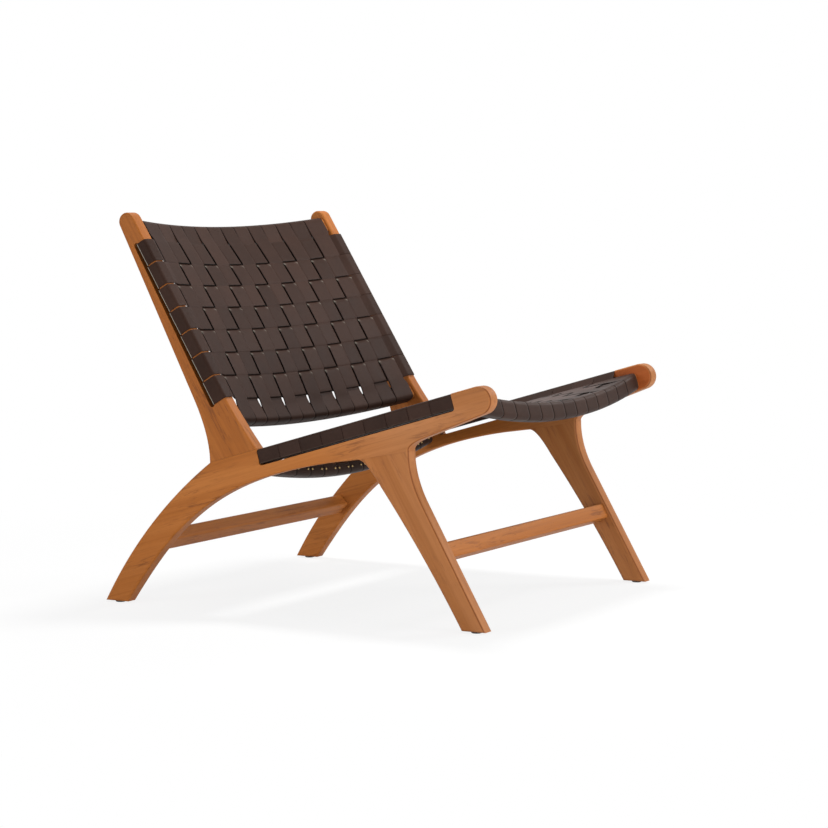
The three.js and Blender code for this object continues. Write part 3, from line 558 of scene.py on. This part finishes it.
for side, sign in SIDES.items():
    low, high = sorted((sign * INNER, sign * OUTER))
    points, faces = board(SIDE, low, high)
    rail_cuts = [post_zone(0, sign), leg_zone(0, sign), rebate_tool(sign), slot_tool(slot_ends("seat"), sign)]
    members = {
        "side_rail": (None, rail_cuts),
        "front_leg": (leg_zone(-JOINT, sign), []),
        "back_post": (post_zone(JOINT, sign), [slot_tool(slot_ends("back"), sign)]),
    }
    for name, (keep, cuts) in members.items():
        whole = mesh_piece(f"{name}_{side}_timber", points, faces, TEAK[name])
        stands_for(carve(whole, keep, cuts), f"{name}_{side}")
        print(whole.name, len(whole.data.polygons), "faces")

# %% [markdown]
# ## Stretchers and rails
# Two stretchers join the legs, and four hollowed rails carry the ends of the lengthwise straps. All are
# one rounded section carried across the chair. A rail's section follows the hollow of its panel, so the
# leather lies on it as it does on the weave.

# %% The hollow of the panels
WEAVE = {
    "seat": {"plane": SEAT, "start": SEAT_FRONT, "length": SEAT_LENGTH, "count": 9, "pitch": 43.8},
    "back": {"plane": BACK, "start": 0.0, "length": BACK_LENGTH, "count": 7, "pitch": 46.0},
}
WEAVE["seat"].update(drop=14.0, sag=31.0, rise=13.0, full=4)
WEAVE["back"].update(drop=4.0, sag=29.0, rise=12.0, full=2)
LONG_COUNT, LONG_PITCH = 13, 46.6
LIFT = 1.3


def hollow(weave, x):
    """Depth of the dished weave: a parabola across the chair, deepest in the middle."""
    return -weave["drop"] - weave["sag"] * (1 - (np.asarray(x) / INNER) ** 2)


def rails_of(panel):
    """The low and the high rail of a panel, each as y from, y to, depth and rounding."""
    return [measures for name, *measures in RAILS.values() if name == panel]


def drawn_up(panel, x, y):
    """How far the tight weave rises out of that hollow: one minus a power of x across the chair, times a parabola
    along it, so nothing at the rails and sides."""
    weave = WEAVE[panel]
    (_, low, _, _), (high, _, _, _) = rails_of(panel)
    along = np.clip((2 * y - low - high) / (high - low), -1, 1)
    return weave["rise"] * (1 - np.clip(x / INNER, -1, 1) ** weave["full"]) * (1 - along**2)


def rounded_box(y0, y1, z0, z1, radius, steps=6):
    """A rectangle with rounded corners, anticlockwise."""
    y0, y1, z0, z1 = y0 + radius, y1 - radius, z0 + radius, z1 - radius
    corners = (y1, z1), (y0, z1), (y0, z0), (y1, z0)
    return np.concatenate([arc(at, radius, k * QUARTER, (k + 1) * QUARTER, steps) for k, at in enumerate(corners)])


def bar(section, x, rise):
    """A section in (y, z) carried along x, lifted by rise at each x."""
    points = np.zeros((len(x), len(section), 3))
    points[..., 0] = x[:, None]
    points[..., 1] = section[:, 0]
    points[..., 2] = section[:, 1] + rise[:, None]
    return points.reshape(-1, 3), tube_faces(len(x), len(section))


# %% Rails under the leather
RAILS = {
    "back_bottom_rail": ("back", -43.0, -16.0, 24.0, 7.0),
    "back_top_rail": ("back", 330.0, 364.0, 20.0, 7.0),
    "seat_front_rail": ("seat", -536.0, -514.0, 28.5, 6.0),
    "seat_rear_rail": ("seat", -85.0, -61.0, 20.5, 6.0),
}
SPAN = np.linspace(-INNER + JOINT, INNER - JOINT, 61)
for name, (panel, y0, y1, depth, radius) in RAILS.items():
    weave = WEAVE[panel]
    points, faces = bar(rounded_box(y0, y1, -LIFT - depth, -LIFT, radius), SPAN, hollow(weave, SPAN))
    rail = mesh_piece(f"{name}_timber", placed(weave["plane"], points), faces, TEAK["cross"])
    stands_for(rail, name)
print("rails:", ", ".join(RAILS))


# %% Stretchers
STRETCHER_DEEP, STRETCHER_HIGH, STRETCHER_EDGE = 26.5, 29.0, 4.0
FRONT_UP, FRONT_BACK, REAR_UP, REAR_BACK = 155, 6, 120, 10


def stretcher(name, edge, way, back):
    """A bar with its height along the leg that it joins, set back from the leg's front edge."""
    deep, high, inwards = STRETCHER_DEEP / 2, STRETCHER_HIGH / 2, np.array([way[1], -way[0]])
    middle = edge + inwards * (back + deep) + MIDDLE
    plane = np.array([0, *middle]), np.array([[1, 0, 0], [0, *inwards], [0, *way]])
    section = rounded_box(-deep, deep, -high, high, STRETCHER_EDGE)
    points, faces = bar(section, SPAN[[0, -1]], np.zeros(2))
    made = mesh_piece(f"{name}_timber", placed(plane, points), faces, TEAK["cross"])
    stands_for(made, name)


front_way = (SHOULDER - TOE) / np.linalg.norm(SHOULDER - TOE)
stretcher("front_stretcher", TOE + FRONT_UP * front_way, front_way, FRONT_BACK)
arch = bezier(*ARCH[::-1], steps=600)
at = int(np.searchsorted(run_length(arch), REAR_UP))
rear_way = (arch[at + 1] - arch[at - 1]) / np.linalg.norm(arch[at + 1] - arch[at - 1])
stretcher("rear_stretcher", arch[at], rear_way, REAR_BACK)
leans = [round(math.degrees(math.atan2(*way[::-1])), 1) for way in (front_way, rear_way)]
print("stretchers lean", leans, "degrees")

# %% [markdown]
# ## Leather
# The straps are smooth brown leather with a soft sheen. Each strap is a little lighter or darker than
# the next, and a shade is painted along one of its cut edges. The seat's weave is lighter where one
# sits, a painted sheen, folds and corners get painted highlights, and a fine pebble only shows close
# up. The strap carries a UV map in metres, across and along, and values for its tone and painted
# light, so the pattern follows it round every bend.

# %% Leather material
# Colours of the painted shade along one cut edge and of the painted highlights on folds and corners.
EDGE_SHADE_COLOUR, PAINTED_HIGHLIGHT = (0.004, 0.0028, 0.0022), (0.40, 0.37, 0.31)


def leather_skin():
    """Colour, roughness and height of smooth strap leather. UV is across and along the strap, in metres."""
    inputs = {"UV": "Vector", "Tone": "Float", "Highlight": "Float", "Half Width": "Float"}
    tree, start, end = group("leather_skin", inputs, LOOKS)
    uv, tone, highlight, half_width = (start.outputs[label] for label in inputs)
    apart, shift = node(tree, "SeparateXYZ"), node(tree, "CombineXYZ")
    place = node(tree, "VectorMath", OPERATION="ADD")
    link(tree, (uv, apart.inputs[0]), (uv, place.inputs[0]))
    link(tree, (product(tree, tone, 7.0), shift.inputs[2]), (shift.outputs[0], place.inputs[1]))

    def noise(scale, detail, rough):
        made = node(tree, "TexNoise", Scale=scale, Detail=detail, Roughness=rough)
        link(tree, (place.outputs[0], made.inputs["Vector"]))
        return made.outputs[0]

    cloudy, mottle, pebble = noise(22, 3, 0.5), noise(160, 3, 0.6), noise(1500, 2, 0.5)
    browns = [(0.0, (0.031, 0.0165, 0.0121)), (0.5, (0.043, 0.0230, 0.0170)), (1.0, (0.095, 0.054, 0.044))]
    wash = ramp(tree, cloudy, [(0.25, (0.86, 0.85, 0.84)), (0.75, (1.12, 1.12, 1.13))])
    speck = ramp(tree, mottle, [(0.3, 0.93), (0.7, 1.06)])
    colour = tinted(tree, tinted(tree, ramp(tree, tone, browns), wash), speck)
    # Painted shade: a band along one cut edge of each strap, the edge that lies in shadow, is made nearly black.
    edge = calc(tree, "DIVIDE", product(tree, apart.outputs[0], -1.0), half_width)
    edge_shade = ramp(tree, edge, [(0.94, 0.0), (0.965, 1.0)])
    colour = blend(tree, product(tree, edge_shade, 0.93), colour, EDGE_SHADE_COLOUR)
    # Painted highlights on sharp folds and on corners diving into the weave.
    colour = blend(tree, highlight, colour, PAINTED_HIGHLIGHT)
    rough = calc(tree, "MULTIPLY_ADD", cloudy, 0.18, 0.36)
    height = calc(tree, "ADD", product(tree, pebble, 0.5), product(tree, mottle, 0.5))
    feed(tree, end.inputs, (colour, rough, height))
    return tree


SKIN = leather_skin()


def leather(name, gloss, shade=1.0):
    """One side of the leather: the smooth grain side, or the dull flesh side with no gloss, made darker by a painted
    shade on the undersides.
    """
    material, tree, shader = new_material(name)
    skin = node(tree, "Group", NODE_TREE=SKIN)
    link(tree, (node(tree, "UVMap", UV_MAP="strap").outputs[0], skin.inputs["UV"]))
    for socket, label in (("Tone", "tone"), ("Highlight", "highlight"), ("Half Width", "half_width")):
        value = node(tree, "Attribute", ATTRIBUTE_NAME=label)
        link(tree, (value.outputs["Fac"], skin.inputs[socket]))
    colour = tinted(tree, skin.outputs["Color"], (shade, shade, shade))
    dress(tree, shader, colour, skin.outputs["Roughness"], skin.outputs["Height"], 0.25, 0.0004)
    settle(shader, Specular_IOR_Level=gloss)
    return material


LEATHER = {"back": leather("back_strap_leather", 0.03), "seat": leather("seat_strap_leather", 0.05)}
# The flesh side lies underneath, and its darker colour is a painted shade.
FLESH = leather("strap_flesh_side", 0.0, shade=0.6)
print("leather:", [side.name for side in (*LEATHER.values(), FLESH)])

# %% [markdown]
# ## Straps
# Every strap is a rounded section carried along a path. In the weave the path is a flattened wave: it
# lies level over one crossing, dips beside the gap and lies level under the next. At its ends a long
# strap goes round the rails, and a cross strap goes round the side frame and into its slot. A cloth
# simulation could settle the weave, but leather this thick hardly stretches, and a worked-out path
# keeps each strap close to its solid.

# %% Paths
LEVEL = {"back": 1.5, "seat": 1.2}
STEEP, HOLD, LEAD = 7.0, 0.47, 2.3
STRAP_THICK, SOFT = 1.8, 1.3
FOLD = {"back": {-1: 1.9, 1: 1.9}, "seat": {-1: 6.0, 1: 1.9}}
TAILS = {"back": -12.0, "seat": 9.0}
AT_RAIL, TAIL_TOP = 0.45, 2.4


def weave_level(place, first, pitch, count, level):
    """Height of a strap in the weave: the level times tanh(k cos(pi t)) / tanh(k), where t counts the
    crossings. Beyond the outermost crossings it keeps its level to the edge of the strap it lies on, then leads
    straight to a share of it at the ends of the given places."""
    t = (place - first) / pitch
    wave = np.tanh(STEEP * np.cos(math.pi * np.clip(t, 0, count - 1))) / math.tanh(STEEP)
    outside = np.maximum(-HOLD - t, t - (count - 1) - HOLD)
    room = np.where(t < 0, -HOLD - t[0], t[-1] - (count - 1) - HOLD)
    return level * wave * (1 - (1 - AT_RAIL) * np.clip(outside / np.maximum(room, 1e-6), 0, 1))


def softened(corners, step=0.5):
    """A path resampled at even steps, with its bends eased by a bell-shaped average along it."""
    reach = run_length(corners)
    even = np.linspace(0, reach[-1], int(reach[-1] / step) + 1)
    path = np.stack([np.interp(even, reach, corners[:, k]) for k in range(2)], -1)
    n = int(4 * SOFT / step)
    bell = np.exp(-0.5 * (np.arange(-n, n + 1) * step / SOFT) ** 2)
    padded = np.concatenate([2 * path[0] - path[n:0:-1], path, 2 * path[-1] - path[-2 : -n - 2 : -1]])
    return np.stack([np.convolve(padded[:, k], bell / bell.sum(), "valid") for k in range(2)], -1)


def stations(path, flat=7.0, bend=0.16):
    """Points picked from a fine path: one every flat millimetres, and more of them where it turns."""
    way = np.gradient(path, axis=0)
    length = np.linalg.norm(way, axis=1)
    heading = np.unwrap(np.arctan2(way[:, 1], way[:, 0]))
    weight = length / flat + np.abs(np.gradient(heading)) / bend
    total = np.concatenate([[0], np.cumsum((weight[1:] + weight[:-1]) / 2)])
    index = np.arange(len(path))
    picks = np.interp(np.linspace(0, total[-1], int(total[-1]) + 2), total, index)
    points = np.stack([np.interp(picks, index, path[:, k]) for k in range(2)], -1)
    turned = np.interp(picks, index, heading)
    return points, np.stack([-np.sin(turned), np.cos(turned)], -1), np.interp(picks, index, run_length(path))


def long_place(i):
    """Where a long strap's middle lies across the chair."""
    return (i - (LONG_COUNT - 1) / 2) * LONG_PITCH


def cross_place(weave, j):
    """Where a cross strap's middle lies along its panel."""
    return weave["start"] + weave["length"] / 2 + (j - (weave["count"] - 1) / 2) * weave["pitch"]


def round_rail(y0, y1, depth, r):
    """A strap in (y, z) all round a low rail, from its tail on the weave's side to the rail's top."""
    big, under = r + LIFT, r - depth - LIFT
    runs = [
        [[y1 + LIFT, -LIFT - TAIL_TOP]],
        arc([y1 - r, under], big, 0, -QUARTER, 10),
        arc([y0 + r, under], big, -QUARTER, -2 * QUARTER, 10),
        arc([y0 + r, -big], big, 2 * QUARTER, QUARTER, 10),
    ]
    return np.concatenate(runs)


def long_path(panel, i):
    """A long strap in (y, z) above the hollow: all round the low rail, over and under, all round the high rail."""
    weave = WEAVE[panel]
    low, high = rails_of(panel)
    y = np.arange(low[1], high[0] + 0.5, 1.0)
    level = LEVEL[panel] * (1 if i % 2 == 0 else -1)
    z = weave_level(y, cross_place(weave, 0) - LEAD, weave["pitch"], weave["count"], level)
    far_end = round_rail(-high[1], -high[0], *high[2:])[::-1] * [-1, 1]
    return softened(np.concatenate([round_rail(*low), np.column_stack([y, z]), far_end]))


def half_cross(panel, j, side):
    """Half a cross strap, with x counted outwards from the middle: over and under the long straps, round the side
    frame and into its slot."""
    weave = WEAVE[panel]
    face, outer = (-RECESS, OUTER - RECESS) if panel == "seat" else (0.0, OUTER)
    depth = SEAT_SLOT if panel == "seat" else float(back_slot(cross_place(weave, j)))
    edge = long_place(LONG_COUNT - 1) + HOLD * LONG_PITCH
    x = np.arange(0, edge, 1.0)
    sign = 1 if (LONG_COUNT // 2 + j) % 2 else -1
    level = weave_level(x, -LEAD * side, LONG_PITCH, LONG_COUNT // 2 + 1, LEVEL[panel] * sign)
    radius = EDGE + LIFT
    bend, outer_bend = np.array([INNER + EDGE, face - EDGE]), [outer - EDGE, face - EDGE]
    run = np.column_stack([x, hollow(weave, x) + level])
    to_last = run[-1] - bend
    meets = math.atan2(*to_last[::-1]) % (2 * math.pi) - math.acos(radius / np.linalg.norm(to_last))
    middle = -depth - FOLD[panel][side]
    return np.concatenate(
        [
            run,
            arc(bend, radius, meets, QUARTER, 8),
            arc(outer_bend, radius, QUARTER, 0, 10),
            [[outer + LIFT, middle], [INNER - LIFT, middle], [INNER - LIFT, middle + TAILS[panel]]],
        ]
    )


def cross_path(panel, j):
    """A whole cross strap in (x, z): its two halves, joined in the middle."""
    right, left = (half_cross(panel, j, side) for side in (-1, 1))
    return softened(np.concatenate([right[:0:-1] * [-1, 1], left]))


# %% Sections, tone and painted light
BELL, BELL_AT = 0.06, 6
NEAR_POST, FAR_POST, POST_FROM, POST_OVER = 0.036, -0.008, 298, 14
SPREAD, SPREAD_MORE, SPREAD_PAST = 1.18, 0.2, 6
# Where the seat's weave gets its painted sheen, where the painted edge shade stops round the side frames, and how
# strong the painted highlights are.
SEAT_HALF, SEAT_PAST, SEAT_SHEEN_OVER, SEAT_SHEEN, SEAT_SHEEN_CALM = 310, 10, 60, 0.62, 0.75
UNSHADED_FROM, UNSHADED_OVER, UNSHADED_WIDER = 296, 6, 0.4
FOLD_HIGHLIGHT, FOLD_ZONE, FOLD_BEND = {"back": 0.75, "seat": 0.05}, 6, (0.24, 0.16)
CORNER_HIGHLIGHT, AT_CORNER, DIVE_BEND, DIVE_TILT = 0.4, (0.7, 0.28), (0.04, 0.08), 0.03


def rising(value, start, over):
    """0 up to the start, then straight up to 1 over a length."""
    return np.clip((value - start) / over, 0, 1)


def strap_section(width, across=9):
    """The section of a strap: flat faces and rounded edges, as across and out."""
    r = STRAP_THICK / 2
    u = np.linspace(-1, 1, across)
    top = np.column_stack([u * (width / 2 - r), np.full(across, r)])
    right = arc((width / 2 - r, 0), r, QUARTER, -QUARTER, 6)[1:-1]
    return np.concatenate([top, right, -top, -right])[::-1]


def slim(panel, kind, at):
    """A strap's width as a share of its width in the weave. On the back, a long strap draws in like a bell above
    the bottom rail. A cross strap draws in round the near post and closes up round the far one."""
    if panel == "seat":
        return np.ones_like(at)
    if kind == "long":
        return 1 - BELL * np.exp(-(((at + BELL_AT) / BELL_AT) ** 4))
    return 1 - np.where(at < 0, NEAR_POST, FAR_POST) * rising(np.abs(at), POST_FROM, POST_OVER)


def strap_points(panel, kind, place, section, points, normal):
    """A section carried along a path. Long straps follow the panel's hollow across their width, and the two
    outermost ones are wider towards the side frames."""
    weave = WEAVE[panel]
    u = section[:, 0] * slim(panel, kind, points[:, :1])
    flat = points[:, None, :] + normal[:, None, :] * section[None, :, 1:]
    if kind == "long":
        half = weave["length"] / 2
        past = np.abs(points[:, :1] - weave["start"] - half) > half + SPREAD_PAST
        outermost = u * place > long_place(LONG_COUNT - 2) * np.abs(u) + 1
        x = place + np.where(outermost, (SPREAD + SPREAD_MORE * past) * u, u)
        at = np.stack([x, flat[..., 0], flat[..., 1] + hollow(weave, x)], -1)
    else:
        at = np.stack([flat[..., 0], place - u, flat[..., 1]], -1)
    at[..., 2] += drawn_up(panel, at[..., 0], at[..., 1])
    return placed(weave["plane"], at.reshape(-1, 3))


def tone_and_painted_light(panel, kind, width, tone, section, points, normal, reach):
    """What the leather reads: its tone, lighter and more even where a sheen is painted on the seat, half its
    width, made too great round the side frames for the painted edge shade to show, and how strong a highlight
    is painted on folds and on corners that dive into the weave."""
    weave, middle, half = WEAVE[panel], 0, SEAT_HALF
    if kind == "long":
        middle, half = weave["start"] + weave["length"] / 2, weave["length"] / 2 + SEAT_PAST
    inside = half - np.abs(points[:, 0] - middle)
    # Painted sheen: inside the rails and side frames the seat's leather is made lighter and more even.
    seat_sheen = rising(inside, 0, SEAT_SHEEN_OVER) * (panel == "seat")
    tone = 0.5 * tone * (1 - SEAT_SHEEN_CALM * seat_sheen) + SEAT_SHEEN * seat_sheen
    # Round the side frames the half width is made too great for the painted edge shade to show.
    unshaded = rising(np.abs(points[:, 0]), UNSHADED_FROM, UNSHADED_OVER) * (kind == "cross")
    half_width = width / 2 * MM * (1 + UNSHADED_WIDER * unshaded)
    # Painted highlights: sharp bends of cross straps round the side frames, and corners of long straps where they bend
    # down into the weave.
    bend = np.gradient(np.unwrap(np.arctan2(normal[:, 1], normal[:, 0])), reach)
    outside = (np.abs(points[:, 0]) > OUTER - FOLD_ZONE) * (kind == "cross")
    highlight = rising(np.abs(bend), *FOLD_BEND) * outside * FOLD_HIGHLIGHT[panel]
    diving = rising(-bend, *DIVE_BEND) * (normal[:, 0] > DIVE_TILT) * (inside > 0) * (kind == "long")
    corner = rising(np.abs(section[:, 0]) / (width / 2), *AT_CORNER)
    highlight = np.maximum(highlight[:, None], CORNER_HIGHLIGHT * diving[:, None] * corner)
    return {"tone": tone[:, None], "half_width": half_width[:, None], "highlight": highlight}


# %% Straps
def strap(panel, kind, number, path, width, place, tone):
    """A section carried along a path, with its two sides of leather, a UV map, its tone and its painted light."""
    name = f"{panel}_strap_{kind}_{number + 1:02d}"
    section = strap_section(width)
    points, normal, reach = stations(path)
    rows, columns = len(points), len(section)
    at = strap_points(panel, kind, place, section, points, normal)
    piece = mesh_piece(f"{name}_leather", at, tube_faces(rows, columns), LEATHER[panel], smooth=50)
    mesh = piece.data
    mesh.materials.append(FLESH)
    low = section[:, 1] < -STRAP_THICK / 4
    below = np.tile(low & np.roll(low, -1), rows - 1)
    mesh.polygons.foreach_set("material_index", np.concatenate([below, [False, False]]).astype(np.int32))
    corner = np.zeros(len(mesh.loops), np.int32)
    mesh.loops.foreach_get("vertex_index", corner)
    # The painted edge shade falls where across is negative: the left edge of a long strap and the lower edge of a
    # cross strap.
    across = np.tile(section[:, 0] if kind == "long" else -section[:, 0], (rows, 1))
    uv = np.stack([across, np.tile(reach[:, None], (1, columns))], -1).reshape(-1, 2) * MM
    mesh.uv_layers.new(name="strap").data.foreach_set("uv", uv[corner].astype(np.float32).ravel())
    for label, value in tone_and_painted_light(panel, kind, width, tone, section, points, normal, reach).items():
        value = np.broadcast_to(value, (rows, columns)).astype(np.float32).ravel()
        mesh.attributes.new(label, "FLOAT", "POINT").data.foreach_set("value", value)
    stands_for(piece, name)
    return piece


def tone_of(number):
    """A steady mix of light and dark straps: the fraction of a multiple of the golden ratio."""
    return (number * 0.6180339887 + 0.37) % 1.0


LONG_WIDTH, TONE_STEP = 46.0, 29
CROSS_WIDTH = {"back": 45.5, "seat": 43.5}
made = []
for number, (panel, across) in enumerate(CROSS_WIDTH.items()):
    weave, first = WEAVE[panel], TONE_STEP * number
    for i in range(LONG_COUNT):
        made.append(strap(panel, "long", i, long_path(panel, i), LONG_WIDTH, long_place(i), tone_of(i + first)))
    for j in range(weave["count"]):
        tone = tone_of(j + LONG_COUNT + first)
        made.append(strap(panel, "cross", j, cross_path(panel, j), across, cross_place(weave, j), tone))
print(len(made), "straps,", sum(len(p.data.polygons) for p in made), "faces")

# %% [markdown]
# ## Tacks and glides
# Two brass tacks hold each tail to the inner face of its rail, where they only show from below. A tack's
# head is a low dome, and a dark plastic disc is nailed under each foot. Both are profiles turned round
# an axis. All the tacks of one panel are one mesh, made by adding one dome to a row of places.

# %% Plain materials
def speckled(name, low, high, rough_low, rough_high, metal=0.0):
    """A plain material whose colour and roughness wander a little between two values."""
    material, tree, shader = new_material(name)
    settle(shader, Metallic=metal)
    noise = node(tree, "TexNoise", Scale=700.0, Detail=3.0)
    link(tree, (node(tree, "TexCoord").outputs["Object"], noise.inputs["Vector"]))
    colour = ramp(tree, noise.outputs[0], [(0.3, low), (0.7, high)])
    rough = ramp(tree, noise.outputs[0], [(0.3, rough_low), (0.7, rough_high)])
    dress(tree, shader, colour, rough, noise.outputs[0], 0.2, 0.0003)
    return material


# %% Tacks
def turned_piece(profile, sides=40):
    """A profile of (radius, height) turned round an upright axis, with a flat face on both ends."""
    a = np.linspace(0, 2 * math.pi, sides, endpoint=False)
    r, h = np.asarray(profile, float).T
    points = np.stack([r[:, None] * np.cos(a), r[:, None] * np.sin(a), np.tile(h[:, None], (1, sides))], -1)
    return points.reshape(-1, 3), tube_faces(len(r), sides)


BRASS = speckled("tack_brass", (0.36, 0.24, 0.10), (0.50, 0.35, 0.16), 0.30, 0.45, metal=1.0)
TACK_ASIDE, TACK_SUNK = 16.0, 0.2
dome, dome_faces = turned_piece([(2.4, 0.0), (2.3, 0.6), (1.75, 1.1), (0.9, 1.4), (0.3, 1.5)], sides=12)
for panel, weave in WEAVE.items():
    heads = []
    for way, (y0, y1, depth, _) in zip((1, -1), rails_of(panel)):
        x = (long_place(np.arange(LONG_COUNT))[:, None] + [-TACK_ASIDE, TACK_ASIDE]).ravel()
        face = (y1 if way > 0 else y0) + way * (LIFT + STRAP_THICK / 2 - TACK_SUNK)
        middles = np.column_stack([x, np.full(len(x), face), hollow(weave, x) - LIFT - depth / 2])
        heads.append((middles[:, None, :] + dome[None, :, [0, 2, 1]] * [1, way, -way]).reshape(-1, 3))
    count = sum(len(h) for h in heads) // len(dome)
    faces = [[v + k * len(dome) for v in face] for k in range(count) for face in dome_faces]
    tacks = mesh_piece(f"{panel}_tacks", placed(weave["plane"], np.concatenate(heads)), faces, BRASS, smooth=60)
    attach(tacks, "root")
    print(tacks.name, count, "heads,", len(faces), "faces")

# %% Glides
GLIDE_BLACK = speckled("glide_plastic", (0.010, 0.010, 0.010), (0.018, 0.017, 0.016), 0.5, 0.66)
disc = [(6.5, 0.0), (7.6, 0.12), (8.5, 0.5), (8.9, 1.1), (9.0, 1.7), (9.0, 2.4), (8.8, 2.7)]
for end, y in (("front", FRONT_FOOT / 2 - FRONT_TOE), ("rear", HEEL - REAR_FOOT / 2)):
    for side, sign in SIDES.items():
        points, faces = turned_piece(disc)
        points = points + [sign * (INNER + TIMBER / 2), y + MIDDLE[0], 0]
        stands_for(mesh_piece(f"glide_{end}_{side}_disc", points, faces, GLIDE_BLACK), f"glide_{end}_{side}")
print("four glides")

# %% [markdown]
# ## Floor, light and camera
# The chair stands on a plain pale floor in front of white. Broad lights from the left, the front and
# the right, a small one from above and a weak one near the floor give the soft modelling of a product
# picture. The camera stands where the picture was taken.

# %% Floor and background
FLOOR_HALF = 40000.0


def seen_straight(tree):
    """1 for rays from the camera, a mirror or glass, and 0 for rays that light other things."""
    rays = node(tree, "LightPath").outputs
    seen = calc(tree, "ADD", rays["Is Camera Ray"], rays["Is Glossy Ray"])
    return calc(tree, "ADD", seen, rays["Is Transmission Ray"], clamp=True)


def pale_floor():
    """A floor that keeps the shadow near the chair, fades to white away from it and looks whiter than it lights."""
    material, tree, shader = new_material("pale_floor")
    settle(shader, Roughness=0.9, Specular_IOR_Level=0.0)
    glow = node(tree, "Emission", Color=(1, 1, 1, 1), Strength=1.0)
    seen = seen_straight(tree)
    mix = node(tree, "MixShader")
    away = node(tree, "VectorMath", OPERATION="LENGTH")
    link(tree, (node(tree, "TexCoord").outputs["Object"], away.inputs[0]))
    fade = eased(tree, away.outputs["Value"], 0.4, 1.5, To_Min=0.84, To_Max=1.0)
    tone = blend(tree, seen, (0.75, 0.75, 0.75), (0.9, 0.9, 0.9))
    feed(tree, mix.inputs, (product(tree, seen, fade), shader.outputs[0], glow.outputs[0]))
    link(tree, (tone, shader.inputs["Base Color"]), (mix.outputs[0], tree.nodes["Material Output"].inputs["Surface"]))
    return material


square = np.array([[-1, -1, 0], [1, -1, 0], [1, 1, 0], [-1, 1, 0]])
floor = mesh_piece("floor", square * FLOOR_HALF, [[0, 1, 2, 3]], pale_floor())

world = scene.world = bpy.data.worlds.new("white_room")
world.use_nodes = True
sky = world.node_tree
dim = settle(sky.nodes["Background"], Color=(1, 1, 1, 1), Strength=0.26)
white = node(sky, "Background", Color=(1, 1, 1, 1), Strength=1.0)
choose = node(sky, "MixShader")
feed(sky, choose.inputs, (seen_straight(sky), dim.outputs[0], white.outputs[0]))
link(sky, (choose.outputs[0], sky.nodes["World Output"].inputs["Surface"]))
print("floor and background")


# %% Lamps
def softbox(name, place, target, size, watts):
    """A square soft light at a place, facing a target."""
    lamp = bpy.data.lights.new(name, "AREA")
    lamp.shape, lamp.size, lamp.energy = "SQUARE", size, watts
    made = bpy.data.objects.new(name, lamp)
    scene.collection.objects.link(made)
    made.location = place
    made.rotation_euler = (Vector(target) - Vector(place)).to_track_quat("-Z", "Y").to_euler()


AIM = (0, 0, 0.35)
LAMPS = {
    "left_light": ((-2.9, 1.3, 0.9), AIM, 1.4, 30),
    "near_light": ((-2.9, -0.6, 0.6), AIM, 1.4, 15),
    "front_light": ((-0.2, -2.8, 0.9), AIM, 1.4, 31),
    "right_light": ((2.4, -1.4, 2.0), AIM, 0.9, 28),
    "top_light": ((0.5, 0.1, 2.6), AIM, 0.5, 50),
    "low_light": ((-0.7, -1.7, 0.1), (0.1, 0.3, 0.2), 0.8, 9),
}
for name, lamp in LAMPS.items():
    softbox(name, *lamp)
print(len(LAMPS), "soft lights")

# %% Camera
AZIMUTH, ELEVATION = math.radians(-61.50072), math.radians(4.722085)
PICTURE, FOCAL, SENSOR = 828, 2612.8214, 36.0
camera = bpy.data.objects.new("camera", bpy.data.cameras.new("camera"))
scene.collection.objects.link(camera)
camera.data.sensor_width = SENSOR
camera.data.lens = SENSOR * (FOCAL / PICTURE)
camera.data.clip_end = 200
camera.location = (-4.16398, -2.31691, 0.72152)
level = math.cos(ELEVATION)
back = Vector((math.sin(AZIMUTH) * level, -math.cos(AZIMUTH) * level, math.sin(ELEVATION)))
camera.rotation_mode = "QUATERNION"
camera.rotation_quaternion = (-back).to_track_quat("-Z", "Y")
scene.camera = camera
scene.view_settings.view_transform = "Standard"
print("camera at", [round(v, 3) for v in camera.location], "lens", round(camera.data.lens, 2))
